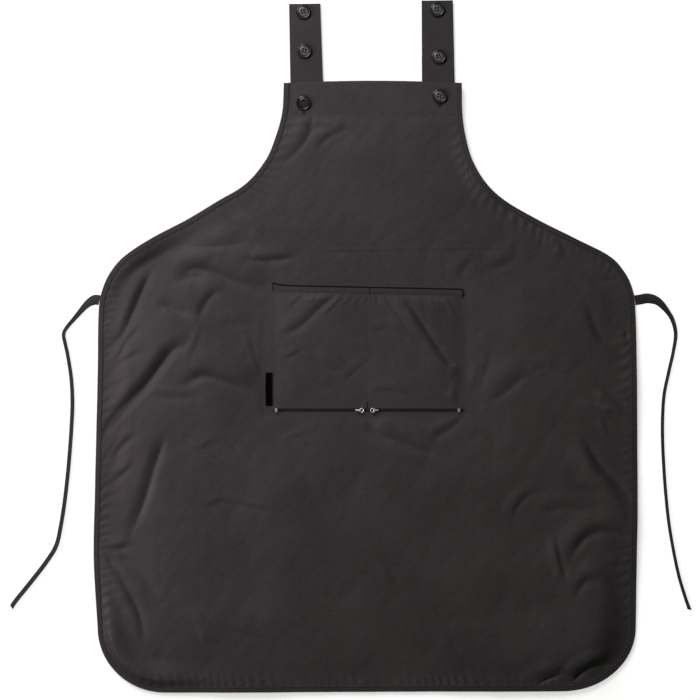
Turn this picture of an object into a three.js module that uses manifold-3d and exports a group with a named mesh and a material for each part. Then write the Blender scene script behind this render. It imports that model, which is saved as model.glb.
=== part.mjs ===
// A bib apron for salon work, in dark polyester, laid out flat and face up.
// Millimetres. X runs across the apron, Y from the hem up to the straps, Z up from the table top.
import * as THREE from "three";
import { mergeVertices } from "three/addons/utils/BufferGeometryUtils.js";
import Module from "manifold-3d";

const wasm = await Module();
wasm.setup();

const table = (columns, rows) => {
  const named = (row) => Object.fromEntries(columns.map((name, i) => [name, row[i]]));
  return rows.map(named);
};

// Cloth and clearances
const CLOTH = 1.0; // wall of the body, pocket, straps and tapes
const GAP = 0.3; // clear space between neighbouring pieces
const SINK = 0.1; // overlap where pieces of one solid fuse
const WELD = 1e-4; // corners closer than this are one
const CURVE_STEPS = 3; // straight steps in each rounded corner

// Finished outline: the outer face of the bound edge, from the bib's corners down to the hem's corners
const EDGE = table(
  ["y", "left", "right"],
  [
    [342, -106, 125],
    [305, -108, 125.5],
    [274, -116, 129.5],
    [242, -129.5, 138.5],
    [211, -155.5, 157],
    [188, -193, 183],
    [164, -233, 225],
    [141, -276, 271],
    [118, -311, 316],
    [98, -329.5, 335.5],
    [75, -341, 346.5],
    [45, -346.5, 350.5],
    [-40, -348, 352],
    [-190, -351.5, 353],
    [-275, -353, 352],
    [-365, -348, 351],
  ],
);
const HEM_CORNER = { left: { across: 88, down: 84.5 }, right: { across: 95, down: 82.5 } };
const SIDE_SIGN = { left: -1, right: 1 };
const SIDES = ["left", "right"];
const BIB_TOP = EDGE[0];
const BIB_ARCH = 3; // rise of the bib's top edge at its middle
const SIDE_STEPS = 27;
const CORNER_STEPS = 6;
const ACROSS_STEPS = 32;
const EDGE_CROWDING = 0.5; // how far the columns crowd towards the two sides, 0 to 1

// Bound edge and turned hem
const BINDING_COVER = 6.5; // how far the folded tape reaches in over the cloth
const RIM = 8; // flat border of the cloth, inside the tape
const HEM_DEPTH = 41; // turned top of the bib
const HEM_SIDE_CLEAR = 14; // the turned layer stops this far from the bib's sides

// How the body lies: one strap layer under the skirt, two under the bib
const SKIRT_MID = CLOTH + GAP + CLOTH / 2;
const BIB_LIFT = 2.3;
const LIFT = { from: 105, to: 212 };

// Pocket
const POCKET = { left: -121, right: 127, bottom: -80, mouthLeft: 80, mouthRight: 73.5 };
const POCKET_STEPS = { across: 18, down: 12 };
const POCKET_RIM = 7;
const POCKET_PUFF = 1.6; // slack of the pocket over the body
const POCKET_FOLD_FREE = 8; // the body lies flat under the pocket and this far around it
const MOUTH_COVER = 6; // how far the mouth's tape reaches down over the pocket
const MOUTH_LIFT = { from: 7.5, to: 36.5 }; // the mouth's lift fades between these depths
const SEAM_X = 3; // stitched line that parts the pocket's two halves

// Folds of the laid cloth: a crest from one point to another, bowed to the left of its way
const FOLD_COLUMNS = ["fromX", "fromY", "toX", "toY", "bow", "height", "width"];
const BODY_FOLDS = table(FOLD_COLUMNS, [
  [-252, 21, -330, -86, 6, 8, 26],
  [-280, 99, -336, 4, -5, 6, 22],
  [-267, -101, -311, -241, 4, 8, 26],
  [-342, -275, -293, -395, 8, 7, 26],
  [-325, -389, -246, -431, -10, 6, 24],
  [-215, 116, -124, 83, 8, 5, 24],
  [-161, 118, -90, 110, 0, 4, 24],
  [-246, -41, -136, -54, 6, 4, 22],
  [12, -105, 97, -135, -6, 5, 24],
  [271, -111, 333, -197, -14, 7, 26],
  [258, -280, 333, -240, 16, 6, 26],
  [266, -324, 310, -312, 14, 5, 24],
  [188, -231, 227, -168, 0, 4, 24],
  [279, 63, 334, 1, -22, 5, 26],
  [153, -64, 203, -28, 0, 4, 22],
  [275, -67, 335, -82, 0, 5, 22],
  [244, 142, 256, 108, 4, 5, 20],
  [-110, 250, -83, 290, 0, 4, 20],
]);
const POCKET_FOLDS = table(FOLD_COLUMNS, [
  [-46, 72, -122, 18, 6, 4.5, 20],
  [40, 66, 112, -28, -4, 4.5, 20],
  [-57, -14, -27, -31, -6, 3, 18],
  [5, -62, 60, -62, -6, 2.5, 18],
  [-120, -5, -82, -1, -8, 2.5, 16],
]);
const FOLD_END = 0.3; // share of a fold's length over which each end dies out
const FOLD_EASE = 26; // folds die out over this width beside an edge or a seam

// Zips along the pocket's bottom
const ZIP = { y: -82.8, width: 5, coilWidth: 2, coilHeight: 0.9 };
const ZIP_RUN = { left: { from: -120, to: 1.5 }, right: { from: 3.5, to: 126.5 } };
const STOP = { length: 3.2, width: 5, height: 0.9, round: 0.8 };
const STOP_X = { left: -115.7, right: 121.3 };
const SLIDER = { length: 9, width: 6, nose: 2.6, shoulder: -1.35, corner: 1, plate: 1.0 };
const FLANGE = { length: 4.5, wall: 0.8, x: 1.5 }; // lips of the slider beside the coil
const SLIDER_X = { left: -7.3, right: 11.5 };
const CROWN = { length: 5.5, width: 2.4, wall: 0.9, roof: 0.8, tunnel: 1.6 };
const PULL = { length: 6.0, width: 6.2, thick: 0.9, bar: 1.0, rim: 1.0, bow: 2.5 };

// Woven tab in the pocket's left seam
const TAB = { width: 8.5, top: -34, bottom: -77 };

// Buttons: dished, with four holes; the profile is in millimetres from the middle of the underside
const BUTTON = { radius: 10, height: 3.6, sides: 16 };
const BUTTON_PROFILE = table(
  ["radius", "height"],
  [
    [6, 0],
    [9.2, 0.8],
    [10, 1.9],
    [9.6, 3.2],
    [8.6, 3.6],
    [7.4, 3.1],
    [6.6, 2.3],
    [0, 2.3],
  ],
);
const BUTTON_HOLE = { radius: 1, offset: 1.7, sides: 6 };
const BUTTON_SHANK = 1.3; // radius of the thread that ties a bib button to the strap below
const BUTTONS = table(
  ["name", "x", "y", "onBib"],
  [
    ["button_left_top", -80.6, 434.2, false],
    ["button_left_middle", -79.2, 383.4, false],
    ["button_left_bib", -80.3, 316, true],
    ["button_right_top", 93, 437.4, false],
    ["button_right_middle", 95, 376, false],
    ["button_right_bib", 96, 324.7, true],
  ],
);
const BUTTONHOLE = { width: 3.4, above: 2, below: 19 };

// Shoulder straps: front leg, fold at the top, back leg, then across the back to the far waist
const STRAPS = {
  left: { topX: -79, topY: 446, bibX: -76.3, waistX: 288, bridge: 0 },
  right: { topX: 93.2, topY: 449.5, bibX: 94.6, waistX: -284, bridge: 1 },
};
const STRAP = { topWidth: 40.6, bibWidth: 42.6, hiddenEnd: 288, bend: 296, waistY: 92 };
const STRAP_FOLD_STEPS = 6;
const BRIDGE = { half: 46, ramp: 28 }; // where the right strap passes over the left one

// Waist ties: flat tapes that leave the bound edge and lie on the table, tilted on edge
const TIE_WIDTH = 13;
const TIE_STEPS = 44;
const TIE_ROOT_STEPS = 6; // the root comes down from the edge to the table over these steps
const TIE_COLUMNS = ["x", "y", "tilt"];
const TIE_ROUTES = {
  left: table(TIE_COLUMNS, [
    [-345.5, 60, 0],
    [-353, 61, 0],
    [-364, 55, 10],
    [-377, 40, 35],
    [-387, 22, 55],
    [-389, 8, 62],
    [-386, -10, 62],
    [-382, -40, 60],
    [-381, -72, 58],
    [-381, -100, 56],
    [-383, -130, 54],
    [-386, -165, 53],
    [-390, -200, 54],
    [-395, -232, 56],
    [-401, -256, 60],
    [-413, -278, 62],
    [-432, -303, 60],
    [-453, -329, 58],
    [-459, -338, 56],
  ]),
  right: table(TIE_COLUMNS, [
    [349.9, 60, 0],
    [357, 61, 0],
    [367, 62.5, 0],
    [380, 60, -12],
    [391, 49, -45],
    [399, 33, -68],
    [402, 14, -72],
    [399, -6, -72],
    [393, -33, -71],
    [387, -62, -70],
    [385, -92, -70],
    [385, -122, -70],
    [386.5, -155, -70],
    [389, -190, -70],
    [393, -228, -70],
    [399, -264, -70],
    [406, -297, -68],
    [414, -324, -66],
    [420, -341, -64],
  ]),
};

// Finishes
const material = (color, roughness, metalness = 0) =>
  new THREE.MeshStandardMaterial({ color, roughness, metalness });
const POLYESTER = material(0x3f3b3d, 0.55);
const TAPE = material(0x38343a, 0.6);
const WOVEN_TAB = material(0x0d0d0f, 0.7);
const ZIP_NYLON = material(0x141416, 0.5);
const NICKEL = material(0xb9b9b8, 0.25, 1);
const BUTTON_RESIN = material(0x14161d, 0.15);

// Small helpers
const clamp = (value) => Math.min(1, Math.max(0, value));
const ease = (from, to, value) => {
  const t = clamp((value - from) / (to - from));
  return t * t * (3 - 2 * t);
};
const lerp = THREE.MathUtils.lerp;
const range = (count) => [...Array(count).keys()];

function geometryFrom(positions, triangles) {
  const geometry = new THREE.BufferGeometry();
  geometry.setAttribute("position", new THREE.Float32BufferAttribute(positions, 3));
  geometry.setIndex(triangles);
  geometry.computeVertexNormals();
  return geometry;
}

function toManifold(geometry) {
  const bare = geometry.clone();
  bare.deleteAttribute("normal");
  bare.deleteAttribute("uv");
  const merged = mergeVertices(bare, WELD);
  return new wasm.Manifold(
    new wasm.Mesh({
      numProp: 3,
      vertProperties: new Float32Array(merged.attributes.position.array),
      triVerts: new Uint32Array(merged.index.array),
    }),
  );
}

function fromManifold(solid) {
  const mesh = solid.getMesh();
  return geometryFrom(Array.from(mesh.vertProperties), Array.from(mesh.triVerts));
}

const fuse = (parts) => fromManifold(parts.map(toManifold).reduce((sum, part) => sum.add(part)));

const cut = (blank, tools) =>
  fromManifold(tools.map(toManifold).reduce((left, tool) => left.subtract(tool), toManifold(blank)));

const extrude = (shape, depth) =>
  new THREE.ExtrudeGeometry(shape, { depth, bevelEnabled: false, curveSegments: CURVE_STEPS });

const polygon = (points) => new THREE.Shape(points.map(([x, y]) => new THREE.Vector2(x, y)));

// Sweeps a closed profile through frames, each an origin with the profile's two directions
function sweep(profile, frames) {
  const outline = profile.map(([a, b]) => new THREE.Vector2(a, b));
  const count = outline.length;
  const positions = frames.flatMap(({ origin, across, up }) => {
    const corner = ({ x, y }) => origin.clone().addScaledVector(across, x).addScaledVector(up, y);
    return outline.flatMap((point) => corner(point).toArray());
  });
  const triangles = [];
  for (const step of range(frames.length - 1)) {
    for (const i of range(count)) {
      const a = step * count + i;
      const b = step * count + ((i + 1) % count);
      triangles.push(a, b, b + count, a, b + count, a + count);
    }
  }
  const last = (frames.length - 1) * count;
  for (const [a, b, c] of THREE.ShapeUtils.triangulateShape(outline, [])) {
    triangles.push(a, c, b, last + a, last + b, last + c);
  }
  return geometryFrom(positions, triangles);
}

// A flat tape through stations, each a point on its middle line, its face's normal and its width
function tape(stations) {
  const sideways = (from, to, normal) => normal.clone().cross(to.point.clone().sub(from.point)).normalize();
  const frames = stations.map((station, i) => {
    const before = sideways(stations[Math.max(0, i - 1)], stations[Math.max(1, i)], station.normal);
    const end = stations.length - 1;
    const after = sideways(stations[Math.min(i, end - 1)], stations[Math.min(i + 1, end)], station.normal);
    const sum = before.add(after);
    const across = sum.multiplyScalar((2 / sum.lengthSq()) * (station.width / 2));
    return { origin: station.point, across, up: station.normal };
  });
  const half = CLOTH / 2;
  return sweep([[-1, -half], [1, -half], [1, half], [-1, half]], frames);
}

// Outline of the body
function finishedEdge(side) {
  const spline = new THREE.SplineCurve(EDGE.map((row) => new THREE.Vector2(row[side], row.y)));
  const run = spline.getSpacedPoints(SIDE_STEPS);
  const start = run.at(-1);
  const { across, down } = HEM_CORNER[side];
  for (const step of range(CORNER_STEPS)) {
    const turn = ((step + 1) / CORNER_STEPS) * (Math.PI / 2);
    const x = start.x - SIDE_SIGN[side] * across * (1 - Math.cos(turn));
    run.push(new THREE.Vector2(x, start.y - down * Math.sin(turn)));
  }
  return run;
}

function inwardNormals(run, side) {
  const sign = SIDE_SIGN[side];
  const last = run.length - 1;
  return run.map((point, i) => {
    const way = run[Math.min(i + 1, last)].clone().sub(run[Math.max(i - 1, 0)]).normalize();
    const turned = new THREE.Vector2(sign * way.y, -sign * way.x);
    return i === last ? new THREE.Vector2(0, 1) : turned;
  });
}

const inset = (run, normals, depth) =>
  run.map((point, i) => point.clone().addScaledVector(normals[i], depth));

const columnShare = (j, count, crowding) => {
  const even = j / count;
  return lerp(even, 0.5 - 0.5 * Math.cos(Math.PI * even), crowding);
};

function bodyOutline() {
  const outline = {};
  for (const side of SIDES) {
    const edge = finishedEdge(side);
    const normals = inwardNormals(edge, side);
    outline[side] = {
      normals,
      outer: inset(edge, normals, CLOTH + GAP),
      inner: inset(edge, normals, CLOTH + GAP + RIM),
    };
    outline[side].outer[0].y = BIB_TOP.y;
    outline[side].inner[0].y = BIB_TOP.y - RIM;
  }
  return outline;
}

const OUTLINE = bodyOutline();
const ROWS = OUTLINE.left.outer.length;

function bibTopAt(x) {
  const middle = (BIB_TOP.left + BIB_TOP.right) / 2;
  const off = (x - middle) / (BIB_TOP.right - middle);
  return BIB_TOP.y + BIB_ARCH * (1 - off * off);
}

// Heights of the laid cloth
function foldHeight(fold, x, y) {
  const along = new THREE.Vector2(fold.toX - fold.fromX, fold.toY - fold.fromY);
  const length = along.length();
  along.divideScalar(length);
  const dx = x - fold.fromX;
  const dy = y - fold.fromY;
  const t = (dx * along.x + dy * along.y) / length;
  const aside = along.x * dy - along.y * dx - fold.bow * 4 * t * (1 - t);
  const ends = ease(0, FOLD_END, t) * ease(0, FOLD_END, 1 - t);
  const near = Math.max(0, 1 - (aside / fold.width) ** 2);
  return fold.height * ends * near * near;
}

const foldsAt = (folds, x, y) => folds.reduce((sum, fold) => sum + foldHeight(fold, x, y), 0);

function edgeDistance(x, y) {
  const point = new THREE.Vector3(x, y, 0);
  const closest = new THREE.Vector3();
  const lift = (p) => new THREE.Vector3(p.x, p.y, 0);
  const runs = SIDES.map((side) => OUTLINE[side].outer);
  const hem = [runs[0].at(-1), runs[1].at(-1)];
  let nearest = Infinity;
  for (const run of [...runs, hem]) {
    for (const i of range(run.length - 1)) {
      new THREE.Line3(lift(run[i]), lift(run[i + 1])).closestPointToPoint(point, true, closest);
      nearest = Math.min(nearest, closest.distanceTo(point));
    }
  }
  return nearest;
}

function outsidePocket(x, y) {
  const beyondX = Math.max(POCKET.left - TAB.width - x, x - POCKET.right, 0);
  const beyondY = Math.max(POCKET.bottom - y, y - POCKET.mouthLeft, 0);
  return ease(POCKET_FOLD_FREE, POCKET_FOLD_FREE + FOLD_EASE, Math.hypot(beyondX, beyondY));
}

const bodyRest = (y) => SKIRT_MID + BIB_LIFT * ease(LIFT.from, LIFT.to, y);

function bodyMid(x, y) {
  const inside = ease(RIM, RIM + FOLD_EASE, edgeDistance(x, y));
  const belowHem = ease(0, FOLD_EASE, BIB_TOP.y - HEM_DEPTH - y);
  return bodyRest(y) + foldsAt(BODY_FOLDS, x, y) * inside * belowHem * outsidePocket(x, y);
}

function hemLayer(x, y) {
  const inSides = x > BIB_TOP.left + HEM_SIDE_CLEAR && x < BIB_TOP.right - HEM_SIDE_CLEAR;
  return inSides && y > BIB_TOP.y - HEM_DEPTH ? CLOTH : 0;
}

// A closed cloth wall: a grid inside a border loop; each point has a middle height and an extra layer below
function clothWall(rows, border) {
  const across = rows[0].length;
  const down = rows.length;
  const points = [...rows.flat(), ...border];
  const top = points.flatMap(({ x, y, z }) => [x, y, z + CLOTH / 2]);
  const bottom = points.flatMap(({ x, y, z, extra }) => [x, y, z - CLOTH / 2 - extra]);
  const below = points.length;
  const at = (k, j) => k * across + j;
  const ring = [
    ...range(across - 1).map((j) => at(0, j)),
    ...range(down - 1).map((k) => at(k, across - 1)),
    ...range(across - 1).map((j) => at(down - 1, across - 1 - j)),
    ...range(down - 1).map((k) => at(down - 1 - k, 0)),
  ];
  const outer = ring.map((_, i) => rows.flat().length + i);
  const triangles = [];
  const bothFaces = (a, b, c) => triangles.push(a, b, c, below + a, below + c, below + b);
  for (const k of range(down - 1)) {
    for (const j of range(across - 1)) {
      bothFaces(at(k, j), at(k + 1, j), at(k + 1, j + 1));
      bothFaces(at(k, j), at(k + 1, j + 1), at(k, j + 1));
    }
  }
  ring.forEach((a, i) => {
    const next = (i + 1) % ring.length;
    bothFaces(a, ring[next], outer[next]);
    bothFaces(a, outer[next], outer[i]);
    const [p, q] = [outer[i], outer[next]];
    triangles.push(p, q, below + q, p, below + q, below + p);
  });
  return geometryFrom([...top, ...bottom], triangles);
}

function bodyPanel() {
  const clothPoint = (x, y) => ({ x, y, z: bodyMid(x, y), extra: hemLayer(x, y) });
  const { left, right } = OUTLINE;
  const rows = range(ROWS).map((k) =>
    range(ACROSS_STEPS + 1).map((j) => {
      const p = left.inner[k].clone().lerp(right.inner[k], columnShare(j, ACROSS_STEPS, EDGE_CROWDING));
      const arch = k === 0 ? bibTopAt(p.x) - BIB_TOP.y : 0;
      return clothPoint(p.x, p.y + arch);
    }),
  );
  const inner = range(ACROSS_STEPS - 1).map((j) => j + 1);
  const hemY = (x) => {
    const share = (x - left.outer.at(-1).x) / (right.outer.at(-1).x - left.outer.at(-1).x);
    return lerp(left.outer.at(-1).y, right.outer.at(-1).y, share);
  };
  const hem = inner.map((j) => ({ x: rows.at(-1)[j].x, y: hemY(rows.at(-1)[j].x) }));
  const border = [
    left.outer[0],
    ...inner.map((j) => ({ x: rows[0][j].x, y: bibTopAt(rows[0][j].x) })),
    ...right.outer,
    ...hem.toReversed(),
    ...left.outer.slice(1).reverse(),
  ];
  return { wall: clothWall(rows, border.map(({ x, y }) => clothPoint(x, y))), hem };
}

const BODY = bodyPanel();

// Folded tape round an edge: a channel profile, closed on the outside
function channelProfile(cover) {
  const slot = CLOTH / 2 + GAP;
  const face = slot + CLOTH;
  const back = GAP + CLOTH;
  return [
    [-cover, slot], [GAP, slot], [GAP, -slot], [-cover, -slot],
    [-cover, -face], [back, -face], [back, face], [-cover, face],
  ];
}

function edgeBinding() {
  const frame = (p, normal) => ({
    origin: new THREE.Vector3(p.x, p.y, bodyRest(p.y)),
    across: new THREE.Vector3(-normal.x, -normal.y, 0),
    up: new THREE.Vector3(0, 0, 1),
  });
  const { left, right } = OUTLINE;
  const upward = new THREE.Vector2(0, 1);
  const frames = [
    ...left.outer.map((p, i) => frame(p, left.normals[i])),
    ...BODY.hem.map((p) => frame(p, upward)),
    ...right.outer.map((p, i) => frame(p, right.normals[i])).reverse(),
  ];
  return sweep(channelProfile(BINDING_COVER), frames.reverse());
}

const buttonholes = () =>
  BUTTONS.filter((button) => button.onBib).map(({ x, y }) => {
    const { width, above, below } = BUTTONHOLE;
    const slit = new THREE.BoxGeometry(width, above + below, BUTTON.radius);
    return slit.translate(x, y + (above - below) / 2, bodyRest(y));
  });

// Patch pocket
const SKIRT_TOP = SKIRT_MID + CLOTH / 2;
const POCKET_MID = SKIRT_TOP + GAP + CLOTH / 2;
const MOUTH_MID = POCKET_MID + GAP + CLOTH; // room for the mouth's tape underneath

const mouthAt = (x) =>
  lerp(POCKET.mouthLeft, POCKET.mouthRight, (x - POCKET.left) / (POCKET.right - POCKET.left));

function pocketMid(x, y) {
  const fromSides = Math.min(x - POCKET.left, POCKET.right - x);
  const fromMouth = mouthAt(x) - y;
  const fromSeams = Math.min(fromSides, y - POCKET.bottom, fromMouth + POCKET_RIM);
  const inside = ease(POCKET_RIM, FOLD_EASE, fromSeams);
  const seam = ease(0, FOLD_EASE, Math.abs(x - SEAM_X));
  const rest = lerp(MOUTH_MID, POCKET_MID, ease(MOUTH_LIFT.from, MOUTH_LIFT.to, fromMouth));
  const tapeFree = ease(POCKET_RIM, FOLD_EASE, fromMouth);
  return rest + inside * tapeFree * (POCKET_PUFF * seam + foldsAt(POCKET_FOLDS, x, y));
}

function pocketPanel() {
  const { across, down } = POCKET_STEPS;
  const pocketPoint = (x, share) => {
    const y = lerp(mouthAt(x), POCKET.bottom, share);
    return { x, y, z: pocketMid(x, y), extra: 0 };
  };
  const inX = (j) => lerp(POCKET.left + POCKET_RIM, POCKET.right - POCKET_RIM, j / across);
  const height = POCKET.mouthLeft - POCKET.bottom;
  const inShare = (k) => lerp(POCKET_RIM / height, 1 - POCKET_RIM / height, k / down);
  const xs = range(across + 1).map(inX);
  const shares = range(down + 1).map(inShare);
  const rows = shares.map((share) => xs.map((x) => pocketPoint(x, share)));
  const innerXs = xs.slice(1, -1);
  const innerShares = shares.slice(1, -1);
  const border = [
    pocketPoint(POCKET.left, 0),
    ...innerXs.map((x) => pocketPoint(x, 0)),
    pocketPoint(POCKET.right, 0),
    ...innerShares.map((share) => pocketPoint(POCKET.right, share)),
    pocketPoint(POCKET.right, 1),
    ...innerXs.toReversed().map((x) => pocketPoint(x, 1)),
    pocketPoint(POCKET.left, 1),
    ...innerShares.toReversed().map((share) => pocketPoint(POCKET.left, share)),
  ];
  return clothWall(rows, border);
}

function pocketBinding() {
  const { left, right, mouthLeft, mouthRight } = POCKET;
  const slope = new THREE.Vector2(right - left, mouthRight - mouthLeft).normalize();
  const ends = [left, right];
  const frames = ends.map((x) => ({
    origin: new THREE.Vector3(x, mouthAt(x), MOUTH_MID),
    across: new THREE.Vector3(-slope.y, slope.x, 0),
    up: new THREE.Vector3(0, 0, 1),
  }));
  return sweep(channelProfile(MOUTH_COVER), frames);
}

// Zips
function zipChain({ from, to }) {
  const edge = ZIP.width / 2;
  const coil = ZIP.coilWidth / 2;
  const top = CLOTH + ZIP.coilHeight;
  const section = polygon([
    [-edge, 0], [edge, 0], [edge, CLOTH], [coil, CLOTH],
    [coil, top], [-coil, top], [-coil, CLOTH], [-edge, CLOTH],
  ]);
  return extrude(section, to - from);
}

function roundedBar(length, width, round) {
  const x = length / 2;
  const y = width / 2;
  const bar = new THREE.Shape();
  bar.moveTo(-x + round, -y);
  bar.lineTo(x - round, -y);
  bar.absarc(x - round, -y + round, round, -Math.PI / 2, 0);
  bar.lineTo(x, y - round);
  bar.absarc(x - round, y - round, round, 0, Math.PI / 2);
  bar.lineTo(-x + round, y);
  bar.absarc(-x + round, y - round, round, Math.PI / 2, Math.PI);
  bar.lineTo(-x, -y + round);
  bar.absarc(-x + round, -y + round, round, Math.PI, Math.PI * 1.5);
  return bar;
}

// Shield-shaped plate that straddles the coil, with a bridge on top for the pull; its wide end is at +X
function zipSlider() {
  const { shoulder, corner } = SLIDER;
  const half = SLIDER.length / 2;
  const wide = SLIDER.width / 2;
  const nose = SLIDER.nose / 2;
  const shield = polygon([
    [-half, -nose], [shoulder, -wide], [half - corner, -wide], [half, corner - wide],
    [half, wide - corner], [half - corner, wide], [shoulder, wide], [-half, nose],
  ]);
  const flangeHeight = ZIP.coilHeight;
  const flange = (y) => {
    const lip = new THREE.BoxGeometry(FLANGE.length, FLANGE.wall, flangeHeight + SINK);
    return lip.translate(FLANGE.x, y, (SINK - flangeHeight) / 2);
  };
  const legs = CROWN.length / 2;
  const span = legs - CROWN.wall;
  const roofUnder = SLIDER.plate + CROWN.tunnel;
  const roofTop = roofUnder + CROWN.roof;
  const foot = SLIDER.plate - SINK;
  const arch = polygon([
    [-legs, foot], [-span, foot], [-span, roofUnder], [span, roofUnder], [span, foot], [legs, foot],
    [legs, roofUnder], [span, roofTop], [-span, roofTop], [-legs, roofUnder],
  ]);
  const crown = extrude(arch, CROWN.width).rotateX(Math.PI / 2).translate(0, CROWN.width / 2, 0);
  const flangeY = wide - FLANGE.wall / 2;
  return fuse([extrude(shield, SLIDER.plate), flange(flangeY), flange(-flangeY), crown]);
}

// Loop on the bridge; its bar lies on the hinge line at the local origin and the loop points to +X
function zipPull() {
  const back = -PULL.bar / 2;
  const y = PULL.width / 2;
  const bowX = PULL.length - PULL.bow + back;
  const loop = new THREE.Shape();
  loop.moveTo(back, -y);
  loop.lineTo(bowX, -y);
  loop.absellipse(bowX, 0, PULL.bow, y, -Math.PI / 2, Math.PI / 2);
  loop.lineTo(back, y);
  loop.closePath();
  const eye = new THREE.Path();
  const inY = y - PULL.rim;
  eye.moveTo(-back, -inY);
  eye.lineTo(bowX, -inY);
  eye.absellipse(bowX, 0, PULL.bow - PULL.rim, inY, -Math.PI / 2, Math.PI / 2);
  eye.lineTo(-back, inY);
  eye.closePath();
  loop.holes.push(eye);
  return extrude(loop, PULL.thick).translate(0, 0, -PULL.thick / 2);
}

// Buttons
function button(shankLength) {
  const { height, sides } = BUTTON;
  const post = [[0, -shankLength], [BUTTON_SHANK, -shankLength], [BUTTON_SHANK, 0]];
  const shank = shankLength > 0 ? post : [[0, 0]];
  const dished = BUTTON_PROFILE.map((row) => [row.radius, row.height]);
  const profile = [...shank, ...dished].map(([r, z]) => new THREE.Vector2(r, z));
  const disc = new THREE.LatheGeometry(profile, sides).rotateX(Math.PI / 2);
  const { radius: bore, offset, sides: boreSides } = BUTTON_HOLE;
  const holes = [-1, 1].flatMap((i) =>
    [-1, 1].map((j) => {
      const hole = new THREE.CylinderGeometry(bore, bore, 2 * height, boreSides);
      return hole.rotateX(Math.PI / 2).translate(i * offset, j * offset, height / 2);
    }),
  );
  return cut(disc, holes);
}

// Straps
const STRAP_BACK = CLOTH / 2;
const STRAP_FRONT = CLOTH + GAP + CLOTH / 2;

function crossing() {
  const line = ({ bibX, waistX }) => (STRAP.waistY - STRAP.bend) / (waistX - bibX);
  const { left, right } = STRAPS;
  const x = (line(left) * left.bibX - line(right) * right.bibX) / (line(left) - line(right));
  return new THREE.Vector3(x, STRAP.bend + line(left) * (x - left.bibX), 0);
}

function strap(side) {
  const { topX, topY, bibX, waistX, bridge } = STRAPS[side];
  const foldRadius = (STRAP_FRONT - STRAP_BACK) / 2;
  const foldMid = (STRAP_FRONT + STRAP_BACK) / 2;
  const foldY = topY - foldRadius - CLOTH / 2;
  const up = new THREE.Vector3(0, 0, 1);
  const down = new THREE.Vector3(0, 0, -1);
  const stations = [
    { point: new THREE.Vector3(bibX, STRAP.hiddenEnd, STRAP_FRONT), normal: up, width: STRAP.bibWidth },
    { point: new THREE.Vector3(bibX, BIB_TOP.y, STRAP_FRONT), normal: up, width: STRAP.bibWidth },
  ];
  for (const step of range(STRAP_FOLD_STEPS + 1)) {
    const turn = (step / STRAP_FOLD_STEPS) * Math.PI;
    const normal = new THREE.Vector3(0, Math.sin(turn), Math.cos(turn));
    const point = new THREE.Vector3(topX, foldY, foldMid).addScaledVector(normal, foldRadius);
    stations.push({ point, normal, width: STRAP.topWidth });
  }
  const back = (x, y, lift) => ({
    point: new THREE.Vector3(x, y, STRAP_BACK + lift * (STRAP_FRONT - STRAP_BACK)),
    normal: down,
    width: STRAP.topWidth,
  });
  const bend = back(bibX, STRAP.bend, 0);
  const waist = back(waistX, STRAP.waistY, 0);
  stations.push(bend);
  if (bridge > 0) {
    const way = waist.point.clone().sub(bend.point).normalize();
    const foot = BRIDGE.half + BRIDGE.ramp;
    const over = [[-foot, 0], [-BRIDGE.half, 1], [BRIDGE.half, 1], [foot, 0]];
    for (const [along, lift] of over) {
      const p = crossing().addScaledVector(way, along);
      stations.push(back(p.x, p.y, lift));
    }
  }
  stations.push(waist);
  return tape(stations);
}

// Ties
function tie(route) {
  const curve = new THREE.CatmullRomCurve3(route.map(({ x, y, tilt }) => new THREE.Vector3(x, y, tilt)));
  const flat = range(TIE_STEPS + 1).map((i) => curve.getPoint(i / TIE_STEPS));
  const up = new THREE.Vector3(0, 0, 1);
  const stations = flat.map((p, i) => {
    const before = flat[Math.max(0, i - 1)];
    const after = flat[Math.min(TIE_STEPS, i + 1)];
    const way = new THREE.Vector3(after.x - before.x, after.y - before.y, 0).normalize();
    const tilt = THREE.MathUtils.degToRad(p.z);
    const side = up.clone().cross(way);
    const normal = up.clone().multiplyScalar(Math.cos(tilt)).addScaledVector(side, Math.sin(tilt));
    const lying = (TIE_WIDTH / 2) * Math.abs(Math.sin(tilt)) + (CLOTH / 2) * Math.cos(tilt);
    const root = Math.max(0, SKIRT_MID - lying) * ease(TIE_ROOT_STEPS, 0, i);
    return { point: new THREE.Vector3(p.x, p.y, lying + root), normal, width: TIE_WIDTH };
  });
  return tape(stations);
}

// Assembly
const apron = new THREE.Group();

function addPiece(name, geometry, finish, parent = apron) {
  const mesh = new THREE.Mesh(geometry, finish);
  mesh.name = name;
  parent.add(mesh);
  return mesh;
}

addPiece("body_panel", cut(BODY.wall, buttonholes()), POLYESTER);
addPiece("edge_binding", edgeBinding(), TAPE);
addPiece("pocket_panel", pocketPanel(), POLYESTER);
addPiece("pocket_binding", pocketBinding(), TAPE);

const tab = new THREE.BoxGeometry(TAB.width, TAB.top - TAB.bottom, CLOTH);
const tabMesh = addPiece("label_tab", tab, WOVEN_TAB);
tabMesh.position.set(
  POCKET.left - GAP - TAB.width / 2,
  (TAB.top + TAB.bottom) / 2,
  SKIRT_TOP + GAP + CLOTH / 2,
);

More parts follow.
